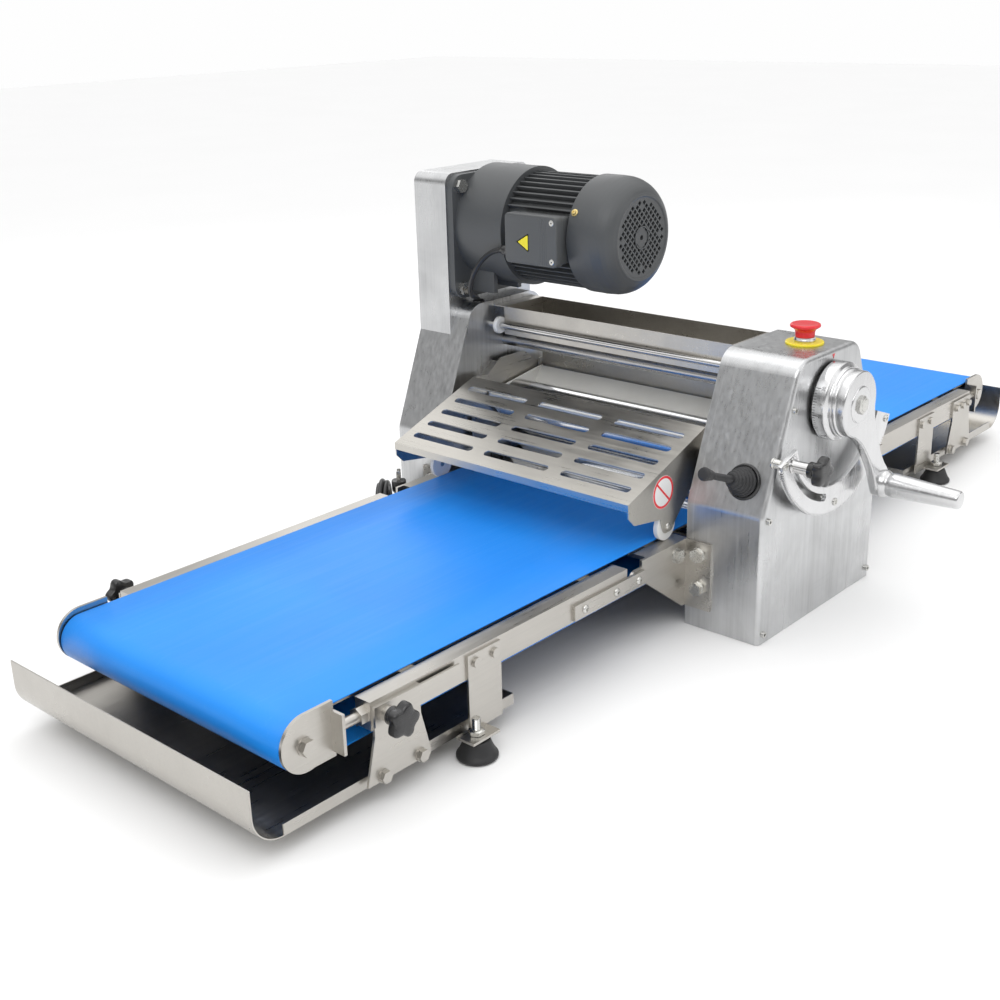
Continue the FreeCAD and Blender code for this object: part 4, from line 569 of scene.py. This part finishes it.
def cowl():
    """The fan cowl: a drawn shell, its rounded turn, a ring round the face and a grid of square holes."""
    profile = [(81.0, 34), (83.5, 34), (83.5, 6, 0.4), (82.8, -6), (81.2, -13), (78.4, -20), (74.5, -26),
               (70, -31), (65.5, -34.3), (62, -35.8), (60.5, -37), (57.5, -37), (56, -35.2), (50, -34.8),
               (0, -34.8), (0, -32.6), (56, -32.6), (63, -32.6), (69, -28.6), (73, -24), (76.6, -18),
               (79.4, -11), (80.8, -4), (81.0, 6, 0.4)]
    bm = bmesh.new()
    revolve(bm, soften(profile, 1.1, True), axes((0, 0, MOTOR_Z), (0, 1, 0)), 96)
    shell = from_bmesh("fan_shell", bm, MOTOR_PAINT, None)
    holes = bmesh.new()
    pitch, half = 7.6, 2.75
    place = facing(-36) @ Matrix.Translation((0, MOTOR_Z * MM, 0)) @ Matrix.Rotation(math.pi / 4, 4, "Z")
    for column in range(-7, 8):
        for row in range(-7, 8):
            distance = math.hypot(column, row) * pitch
            on_rib = abs(column) == abs(row) and distance > 36
            if 12.5 < distance < 50.5 and not on_rib:
                spot = place @ Matrix.Translation((column * pitch * MM, row * pitch * MM, 0))
                bmesh.ops.create_cube(holes, size=1.0, matrix=spot @ Matrix.Diagonal(
                    (2 * half * MM, 2 * half * MM, 0.012, 1)))
    revolve(holes, [(0, -6), (3.6, -6), (3.6, 6), (0, 6)], facing(-34) @ Matrix.Translation(
        (0, MOTOR_Z * MM, 0)), 24)
    tool = from_bmesh("fan_holes", holes, MOTOR_PAINT, None)
    without(shell, tool)
    shell.data.set_sharp_from_angle(angle=math.radians(30))
    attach(shell, "base")
    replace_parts(shell, "fan_cowl")
    turned("fan_ring", [(16.4, -35.0), (16.4, -36.2), (14.6, -36.2), (14.6, -35.0)], (0, 0, MOTOR_Z),
           (0, 1, 0), MOTOR_PAINT, "base", 64, closed=True, soft=0.4)
    for number, degrees in enumerate((152, 32, 272)):
        a = math.radians(degrees)
        out = Vector((math.cos(a), 0, math.sin(a)))
        spot = Vector((0, 26, MOTOR_Z)) + out * 83.2
        head = [(0, 0), (5.2, 0), (5.2, 1.0), (3.6, 1.2), (3.4, 3.6), (1.6, 3.8), (1.4, 2.4), (0, 2.4)]
        turned("cowl_screw_%d" % number, head, spot, out, BRASS, "base", 32, soft=0.3)


def rounded_box(width, depth, radius):
    """Corners of a rounded rectangle centred on the origin, in millimetres."""
    points = []
    for sign_x, sign_y, start in ((1, 1, 0), (-1, 1, 90), (-1, -1, 180), (1, -1, 270)):
        points += arc((sign_x * (width / 2 - radius), sign_y * (depth / 2 - radius)), radius, start,
                      start + 90, 5)
    return points


def terminal_box():
    """The box on the motor's side: base, lid with ribs, two screws, a plain yellow triangle and the gland."""
    outward = Matrix(((0, -1, 0), (0, 0, 1), (-1, 0, 0))).transposed().to_4x4()
    outward.translation = Vector((0, 0.083, 0.483))
    base = plate("terminal_base", [rounded_box(90, 66, 5)], 67, 86, outward, MOTOR_BOX, "base",
                 0.8)
    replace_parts(base, "terminal_box")
    plate("terminal_lid", [rounded_box(95, 71, 7)], 86.4, 103.6, outward, MOTOR_BOX, "base", 2.2)
    plate("terminal_gasket", [rounded_box(91, 67, 5)], 85.8, 86.8, outward, RUBBER, "base", 0.2)
    plate("terminal_panel", [rounded_box(62, 64, 4)], 103, 104, outward @ Matrix.Translation(
        (-0.0125, 0, 0)), MOTOR_BOX, "base", 0.4)
    for number in range(3):
        x = 21 + number * 3.6
        plate("terminal_rib_%d" % number, [[(x, -33), (x + 1.3, -33), (x + 1.3, 33), (x, 33)]], 103, 104,
              outward, MOTOR_BOX, "base", 0.3)
    for number, (x, y) in enumerate(((39, 27), (39, -27))):
        head = [(0, 102.6), (4.4, 102.6), (4.4, 103.5), (3.4, 104.0), (1.1, 104.0), (1.0, 103.2), (0, 103.2)]
        turned("terminal_screw_%d" % number, head, (0, 83 - x, MOTOR_Z + y), (-1, 0, 0), ZINC, "base",
               32, soft=0.3)
    for word, size, low, high, look, slot in (("border", 15.5, 103.7, 104.0, ENGRAVED, "motor_box"),
                                              ("field", 12.6, 103.75, 104.05, YELLOW, "stop_yellow")):
        corners = [polar((0, -4), size, degrees) for degrees in (60, 180, 300)]
        plate("terminal_mark_" + word, [soften(corners, 1.5, True)], low, high,
              outward @ Matrix.Translation((-0.010, 0, 0)), look, "base", 0.1)
    bm = bmesh.new()
    place = axes((-92, 129, 462), (0, 1, 0))
    hexagon(bm, place, 17, 0, 6)
    sleeve = [(0, 5.5), (7.4, 5.5), (7.4, 11), (6.8, 14), (4.6, 19), (4.0, 19), (0, 18.6)]
    revolve(bm, soften(sleeve, 0.6), place, 40)
    from_bmesh("motor_gland", bm, BLACK, "base")
    turned("roof_grommet", [(0, 0), (9.5, 0), (9.5, 2.4), (6.2, 4.2), (0, 4.4)], (-49, 235, 367), (0, 0, 1),
           BLACK, "base", 40, soft=1.0)


def motor_fins():
    """The motor's ribbed barrel, plain behind its terminal box."""
    outline, fins = [], 48
    for fin in range(fins):
        angle = 360 * fin / fins
        if 152 < angle < 208:
            outline += arc((0, MOTOR_Z), 72, angle - 3.7, angle + 3.7, 3)
            continue
        for radius, turn in ((72, -3.7), (72, -1.3), (80.6, -0.75), (80.6, 0.75), (72, 1.3)):
            outline.append(polar((0, MOTOR_Z), radius, angle + turn))
    barrel = plate("motor_barrel", [outline], -153, -31, facing(0), MOTOR_PAINT, "base", 0.25)
    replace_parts(barrel, "motor_frame")


cowl()
terminal_box()
motor_fins()


# ---------------------------------------------------------------- dial, lever and sector

SHAFT_Z, SLOT_RADIUS = 302, 128.8


def dial():
    """The graduated drum: a black ring behind it as a painted shadow, ticks and numbers round its rim, and a
    stepped front.
    """
    origin, along = (0, 0, SHAFT_Z), (0, -1, 0)
    drum = turned("gap_drum", [(0, 339.3), (40.5, 339.3), (40.5, 343), (51.2, 343), (52, 343.8, 0.2),
                               (52, 359.4, 0.4), (50.8, 360.8, 0.4), (47.0, 362.6, 0.6), (46.4, 364),
                               (46.4, 367), (0, 367)],
                  origin, along, POLISHED, "gap_control", 128, soft=0.5)
    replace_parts(drum, "gap_dial")
    # Painted shadow: a black ring stands in the recess where the drum's rim casts shade.
    turned("gap_shadow_ring", [(41, 341), (49.5, 341), (49.5, 343.4), (41, 343.4)], origin, along, BLACK,
           "gap_control", 96, closed=True, soft=0.3)
    bm = bmesh.new()
    for tick in range(0, 61):
        angle = math.radians(60 + tick * 4)
        reach = 7.2 if tick % 10 == 0 else 5.2 if tick % 5 == 0 else 3.4
        wide = 0.0075 if tick % 5 == 0 else 0.0055
        rows = []
        for radius in (51.9, 52.07):
            rows.append([bm.verts.new((radius * math.sin(angle + s * wide) * MM, -y * MM,
                                       (SHAFT_Z + radius * math.cos(angle + s * wide)) * MM))
                         for s, y in ((-1, 344.4), (1, 344.4), (1, 344.4 + reach), (-1, 344.4 + reach))])
        bm.faces.new(rows[1])
        bm.faces.new(list(reversed(rows[0])))
        for k in range(4):
            bm.faces.new((rows[0][k], rows[0][(k + 1) % 4], rows[1][(k + 1) % 4], rows[1][k]))
    from_bmesh("gap_ticks", bm, ENGRAVED, "gap_control", 20)
    for number in range(7):
        dial_number(number)
    outline = [(-3.4, 3.4), (3.4, 3.4), (0, -3.2)]
    place = facing(-339) @ Matrix.Translation((6 * MM, 0.3578, 0))
    plate("gap_index", [soften(outline, 0.6, True)], 0, 0.35, place, RED, "base", 0.1)


def dial_number(number):
    """A generic figure wrapped round the drum's rim beside each long tick."""
    words = bpy.data.curves.new("figure", "FONT")
    words.body, words.size, words.extrude = str(number * 5), 6.2 * MM, 0.0
    words.align_x, words.align_y = "CENTER", "CENTER"
    holder = bpy.data.objects.new("figure", words)
    scene.collection.objects.link(holder)
    bpy.context.view_layer.update()
    mesh = bpy.data.meshes.new_from_object(holder.evaluated_get(bpy.context.evaluated_depsgraph_get()))
    bpy.data.objects.remove(holder)
    bm = bmesh.new()
    bm.from_mesh(mesh)
    faces = bmesh.ops.extrude_face_region(bm, geom=bm.faces[:])
    raised = {v for v in faces["geom"] if isinstance(v, bmesh.types.BMVert)}
    angle = math.radians(60 + number * 40)
    for vert in bm.verts:
        radius = (52.08 if vert in raised else 51.9) * MM
        turn = angle + vert.co.x / (52 * MM)
        vert.co = (radius * math.sin(turn), -0.3553 + vert.co.y, SHAFT_Z * MM + radius * math.cos(turn))
    from_bmesh("gap_figure_%d" % number, bm, ENGRAVED, "gap_control", 20)


def lever():
    """The cast arm with its waisted neck and boss, the turned grip, and the washer and nut on the shaft."""
    eye = (85, 170)
    reach = math.hypot(eye[0], eye[1] - SHAFT_Z)
    lean = math.degrees(math.atan2(eye[1] - SHAFT_Z, eye[0]))

    def on_arm(along, across):
        a = math.radians(lean)
        return (along * math.cos(a) - across * math.sin(a),
                SHAFT_Z + along * math.sin(a) + across * math.cos(a))

    outline = arc((0, SHAFT_Z), 44, lean + 56, lean + 304, 60)
    outline += [on_arm(a, s) for a, s in ((33, -30), (44, -25), (56, -20.6), (70, -17.6), (90, -15.4),
                                          (112, -14.2), (128, -15), (140, -17.3))]
    outline += arc(eye, 19, lean - 100, lean + 100, 28)
    outline += [on_arm(a, s) for a, s in ((140, 17.3), (128, 15), (112, 14.2), (90, 15.4), (70, 17.6),
                                          (56, 20.6), (44, 25), (33, 30))]
    arm = plate("lever_arm", [outline], 371.5, 384.5, facing(0), LEVER, "gap_control", 2.2)
    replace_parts(arm, "gap_lever")
    turned("lever_hub", [(0, 366.4), (45.4, 366.4), (45.4, 371), (41.6, 374.4), (41.6, 378), (0, 378)],
           (0, 0, SHAFT_Z), (0, -1, 0), POLISHED, "gap_control", 112, soft=0.8)
    grip = [(0, 378), (18.6, 378), (19.4, 384), (18.2, 390), (15.4, 393), (16.8, 398), (16.9, 402),
            (12.4, 491.5), (11, 494), (0, 494)]
    turned("lever_grip", grip, (eye[0], 0, eye[1]), (0, -1, 0), LEVER, "gap_control", 80,
           soft=1.6)
    turned("lever_washer", [(0, 383), (24.5, 383), (24.5, 385.2), (22.5, 386.2), (11, 386.2), (0, 386.2)],
           (0, 0, SHAFT_Z), (0, -1, 0), POLISHED, "gap_control", 80, soft=0.6)
    bm = bmesh.new()
    hexagon(bm, axes((0, 0, SHAFT_Z), (0, -1, 0)) @ Matrix.Rotation(0.4, 4, "Z"), 22, 386, 391)
    revolve(bm, soften([(0, 390), (8.4, 390), (8.4, 391.5), (7.4, 392), (0, 392)], 0.4), axes(
        (0, 0, SHAFT_Z), (0, -1, 0)), 40)
    from_bmesh("lever_nut", bm, ZINC, "gap_control")


def toothed_sector():
    """The ring sector with teeth round its outer edge, its curved slot, its posts and their screws."""
    centre, start, end = (0, SHAFT_Z), 200, 340
    root, tip, edge, inner, pitch = 149.4, 153.9, 153.5, 113.5, 1.4
    tooth = start + 2.5
    outline = [polar(centre, edge, start)]
    while tooth < end - 12:
        outline += [polar(centre, root, tooth), polar(centre, tip, tooth + pitch * 0.35),
                    polar(centre, tip, tooth + pitch * 0.72)]
        tooth += pitch
    outline += arc(centre, edge, tooth, end, 14)
    outline += arc(centre, inner, end, start, 90)
    half_slot, slot_from, slot_to = 5, 203, 257
    slot = arc(centre, SLOT_RADIUS + half_slot, slot_from, slot_to, 44)
    slot += arc(polar(centre, SLOT_RADIUS, slot_to), half_slot, slot_to, slot_to + 180, 10)[1:-1]
    slot += arc(centre, SLOT_RADIUS - half_slot, slot_to, slot_from, 44)
    slot += arc(polar(centre, SLOT_RADIUS, slot_from), half_slot, slot_from + 180, slot_from + 360, 10)[1:-1]
    ring = plate("sector_ring", [outline, slot], 351, 357, facing(0), LEVER, "base", 0.35)
    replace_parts(ring, "toothed_sector")
    for number, degrees in enumerate((201.5, 270, 337)):
        x, z = polar(centre, 140 if number == 1 else 144, degrees)
        post = [(0, 339), (7.5, 339), (7.5, 341), (6, 342), (6, 351.2), (0, 351.2)]
        turned("sector_post_%d" % number, post, (x, 0, z), (0, -1, 0), ZINC, "base", 32,
               soft=0.4)
        head = [(0, 356.8), (5.2, 356.8), (5.2, 358.4), (4.2, 359.2), (2.6, 359.2), (2.5, 357.8), (0, 357.8)]
        turned("sector_screw_%d" % number, head, (x, 0, z), (0, -1, 0), ZINC, "base", 32,
               soft=0.3)


def star_knob(name, origin, along, back, deep, radius, body):
    """A black five-lobed knob with a waisted stem, its lobes rounded off to front and back."""
    lobe = 0.135

    def lobes(angle, height):
        return 1 + lobe * math.cos(5 * angle) if height > back + deep * 0.36 else 1.0

    bm = bmesh.new()
    place = axes(origin, along)
    stem = [(0, back), (radius * 0.52, back), (radius * 0.5, back + deep * 0.3),
            (radius * 0.44, back + deep * 0.34), (radius * 0.44, back + deep * 0.5), (0, back + deep * 0.5)]
    revolve(bm, soften(stem, 0.8), place, 48)
    top, low, wide = back + deep, back + deep * 0.42, radius / (1 + lobe)
    head = [(0, low), (wide * 0.62, low), (wide * 0.9, low + 0.8), (wide * 0.985, low + 2.4), (wide, low + 4),
            (wide, top - 4), (wide * 0.975, top - 2.2), (wide * 0.90, top - 0.9), (wide * 0.76, top - 0.2),
            (wide * 0.5, top), (0, top)]
    revolve(bm, head, place, 120, lobes)
    return from_bmesh(name, bm, BLACK, body)


def lever_stop():
    x, z = polar((0, SHAFT_Z), SLOT_RADIUS, 206.8)
    knob = star_knob("stop_knob", (x, 0, z), (0, -1, 0), 380.3, 24, 20.5, "lever_stop")
    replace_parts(knob, "lever_stop")
    sleeve = [(0, 346), (6.5, 346), (6.5, 350), (4, 350), (4, 357.3), (9, 357.3), (9, 358.4), (8, 358.8),
              (8, 379.8), (7, 380.5), (0, 380.5)]
    turned("stop_sleeve", sleeve, (x, 0, z), (0, -1, 0), CHROME, "lever_stop", 48, soft=0.3)


dial()
lever()
toothed_sector()
lever_stop()


# ---------------------------------------------------------------- controls

STOP_AT = (13.6, -291.5, 0)
STICK_AT, STICK_ALONG = (-135.67, -299.5, 216), (-0.9307, 0, 0.3659)


def stop_button():
    disc = [(0, 367.0), (25.5, 367.0), (25.5, 369.0), (24.6, 370.0), (15, 370.0), (0, 370.0)]
    ring = turned("stop_plate", disc, STOP_AT, (0, 0, 1), YELLOW, "base", 96, soft=0.4)
    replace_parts(ring, "estop_base")
    collar = [(0, 369.6), (14.5, 369.6), (14.5, 373), (13.6, 374), (13.6, 376), (0, 376)]
    turned("stop_collar", collar, STOP_AT, (0, 0, 1), CHROME, "base", 64, soft=0.4)
    mushroom = [(0, 375.6), (12.6, 375.6), (13.0, 378), (13.2, 383), (14.6, 386.2), (17.8, 388.2),
                (20.2, 389.6), (20.4, 391.2), (19.6, 393), (17.6, 393.8), (12, 393.2), (0, 392.6)]
    cap = turned("stop_cap", mushroom, STOP_AT, (0, 0, 1), RED, "estop_button", 96, soft=0.8)
    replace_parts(cap, "estop_button")


def joystick():
    """Its bezel, the stick, and the folded boot."""
    rim = [(20, -0.4), (24, -0.4), (24, 1.2), (22.6, 3.6), (21.2, 4), (20, 3.4)]
    bezel = turned("stick_bezel", rim, STICK_AT, STICK_ALONG, BLACK, "base", 72, closed=True,
                   soft=0.7)
    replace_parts(bezel, "joystick_bezel")
    profile = [(0, 1.2), (17, 1.2), (19.2, 2.4)]
    for fold, radius in enumerate((19.4, 17.8, 16.0, 14.0, 12.0)):
        low = 3.2 + fold * 5.6
        profile += [(radius, low), (radius + 0.3, low + 1.6), (radius - 0.2, low + 3.2),
                    (radius - 2.5, low + 3.9), (radius - 2.6, low + 5.0)]
    profile += [(9.6, 31.4), (8.4, 33.4), (6.2, 34), (0, 34.4)]
    boot = turned("stick_boot", profile, STICK_AT, STICK_ALONG, BOOT, None, 72, soft=0.7)
    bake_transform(boot)
    stick = turned("stick_handle", [(0, 26), (4.9, 26), (4.9, 40), (4.6, 78), (5.6, 82), (6.5, 85), (7.4, 92),
                                    (8.6, 98), (8.8, 101), (7.6, 103.4), (4, 104), (0, 104)], STICK_AT,
                   STICK_ALONG, BOOT, "joystick", 72, soft=0.7)
    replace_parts(stick, "joystick")
    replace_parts(boot, "joystick")


def gland():
    bm = bmesh.new()
    place = axes((-151, 290, 36), (-1, 0, 0))
    hexagon(bm, place, 20, 0, 5.4)
    revolve(bm, soften([(0, 5.2), (8.4, 5.2), (8.4, 9)] + [(8.0 - k * 0.42, 10.4 + k * 2.2 + s)
            for k in range(8) for s in (0, 0.9)] + [(4.6, 29), (4.2, 30), (0, 30)], 0.4), place, 48)
    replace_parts(from_bmesh("gland_sleeve", bm, BLACK, "base"), "mains_gland")


def prohibition_mark():
    """A plain red ring with a bar on a white disc, on the front guard's cheek."""
    place = facing(-210.5) @ Matrix.Translation((-188 * MM, 197 * MM, 0))
    plate("guard_mark_disc", [arc((0, 0), 22.5, 0, 352.5, 48)], 0.0, 0.25, place, WHITE_FILM, "front_guard",
          0.08)
    bar = [polar((0, 0), 20, degrees) for degrees in (131, 139, 311, 319)]
    ring = [arc((0, 0), radius, 0, 352.5, 48) for radius in (22.1, 18.8)]
    plate("guard_mark_ring", ring, 0.2, 0.42, place, RED, "front_guard", 0.06)
    plate("guard_mark_bar", [bar], 0.18, 0.40, place, RED, "front_guard", 0.06)


stop_button()
joystick()
gland()
prohibition_mark()


# ---------------------------------------------------------------- tables

def feet():
    for side, word in ((-1, "front"), (1, "rear")):
        for hand, number in ((-1, 0), (1, 1)):
            spot = (side * 585, hand * 239, 0)
            foot = turned("%s_foot_%d" % (word, number),
                          [(0, 0.2), (22.6, 0.2), (24.5, 1.6), (24.5, 4.4), (23.4, 6), (21.2, 9), (18.4, 15),
                           (16.2, 20.6), (15.2, 22.6), (13.4, 23.2), (0, 23.2)], spot, (0, 0, 1), RUBBER,
                          word + "_feet", 72, soft=0.8)
            if not number:
                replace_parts(foot, word + "_feet")
            thread = [(0, 22.5)]
            for turn in range(18):
                thread += [(4.3, 23.4 + turn * 1.45), (5.0, 24.1 + turn * 1.45)]
            thread += [(4.6, 49.6), (0, 50)]
            turned("%s_foot_stem_%d" % (word, number), thread, spot, (0, 0, 1), ZINC, word + "_feet",
                   32, soft=0)
            bm = bmesh.new()
            hexagon(bm, axes(spot, (0, 0, 1)), 17, 29.6, 35.5)
            from_bmesh("%s_foot_nut_%d" % (word, number), bm, ZINC, word + "_table")


def tension_knobs():
    for hand, word in ((-1, "near"), (1, "far")):
        knob = star_knob("tension_star_" + word, (-712, 0, 108), (0, hand, 0), 238, 24, 20.5,
                         "tension_knob_" + word)
        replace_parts(knob, "front_tension_knob_" + word)


def bushes():
    """White nylon sleeves where the round bars meet the side plates."""
    places = [(x, z, bore, hand) for x, z, bore in ((-31, 331, 5), (-112, 40, 10), (112, 40, 10))
              for hand in (1, -1)]
    for number, (x, z, bore, hand) in enumerate(places):
        sleeve = [(bore, 205.4), (bore + 7, 205.4), (bore + 8, 206.4), (bore + 8, 211.8), (bore, 211.8)]
        turned("bar_bush_%d" % number, sleeve, (x, 0, z), (0, hand, 0), NYLON, "base", 56,
               closed=True, soft=0.6)


def cap_screw(name, origin, along, size, body):
    """A button-headed screw with its socket, standing on a face."""
    head = [(0, 0), (1, 0), (1, 0.16), (0.82, 0.42), (0.5, 0.56), (0.42, 0.56), (0.40, 0.2), (0, 0.2)]
    turned(name, [(r * size, h * size) for r, h in head], origin, along, ZINC, body, 28, soft=0.2)


def small_screws():
    """The screws on the fold's straps and at the guard wheels' hubs."""
    for side, word in ((-1, "front"), (1, "rear")):
        for hand, near in ((-1, "near"), (1, "far")):
            for number, x in enumerate((265, 312, 375)):
                cap_screw("%s_strap_screw_%s_%d" % (word, near, number), (side * x, hand * 229.4, 104),
                          (0, hand, 0), 5.6, word + "_table")
            cap_screw("%s_wheel_screw_%s" % (word, near), (side * 176, hand * 210.4, 146), (0, hand, 0), 5.0,
                      word + "_guard")


def deflector():
    """A sheet behind the rollers, between the side plates: a guess, with no CAD node of its own."""
    outline = [(68.4, 271), (68.4, 236), (70, 236), (70, 271)]
    plate("roller_deflector", [outline], -208, 208, facing(0), STAINLESS, "base", 0.3)


feet()
tension_knobs()
bushes()
small_screws()
deflector()


# ---------------------------------------------------------------- studio

def area_light(name, place, target, size, power, colour=(1, 1, 1)):
    data = bpy.data.lights.new(name, "AREA")
    data.shape, data.size, data.size_y, data.energy, data.color = "RECTANGLE", *size, power, colour
    light = bpy.data.objects.new(name, data)
    light.location = place
    light.rotation_euler = (Vector(target) - Vector(place)).to_track_quat("-Z", "Y").to_euler()
    scene.collection.objects.link(light)


def studio():
    """A pale floor, a grey-to-white sky that the metal mirrors, and four soft lights."""
    bm = bmesh.new()
    bmesh.ops.create_grid(bm, x_segments=8, y_segments=8, size=12)
    floor_shader = Shader("studio_floor", Specular_IOR_Level=0.1)
    tone = floor_shader.noise((1, 1, 1), 2.0)
    pale = floor_shader.mix(tone, (0.93, 0.93, 0.93), (0.95, 0.95, 0.95))
    matt = floor_shader.spread(tone, 0, 1, 0.6, 0.7)
    floor = from_bmesh("studio_floor", bm, floor_shader.paint(pale, matt), None)
    floor.location = (0, 0, -0.0006)
    world = bpy.data.worlds.new("studio_world")
    scene.world = world
    world.use_nodes = True
    tree = world.node_tree
    where = tree.nodes.new("ShaderNodeTexCoord")
    split = tree.nodes.new("ShaderNodeSeparateXYZ")
    ramp = tree.nodes.new("ShaderNodeValToRGB")
    shift = tree.nodes.new("ShaderNodeMapRange")
    shift.inputs["From Min"].default_value = -0.3
    tree.links.new(where.outputs["Generated"], split.inputs[0])
    tree.links.new(split.outputs["Z"], shift.inputs["Value"])
    tree.links.new(shift.outputs[0], ramp.inputs["Fac"])
    stops = ((0.0, 0.74), (0.235, 0.74), (0.30, 0.34), (0.48, 0.20), (0.70, 0.90), (1.0, 1.0))
    while len(ramp.color_ramp.elements) < len(stops):
        ramp.color_ramp.elements.new(0.5)
    for element, (position, level) in zip(ramp.color_ramp.elements, stops):
        element.position, element.color = position, (level, level, level, 1)
    background = tree.nodes["Background"]
    tree.links.new(ramp.outputs["Color"], background.inputs["Color"])
    background.inputs["Strength"].default_value = 1.34
    area_light("key", (-1.9, -1.1, 2.3), (-0.1, 0, 0.15), (1.8, 1.4), 14)
    area_light("side", (0.9, -2.4, 1.1), (0.1, -0.1, 0.25), (1.4, 1.2), 5)
    area_light("top", (0.3, 0.4, 2.6), (0, 0, 0.1), (2.4, 1.8), 8)
    area_light("back", (1.8, 2.1, 1.5), (0.1, 0, 0.2), (1.6, 1.0), 6)


studio()
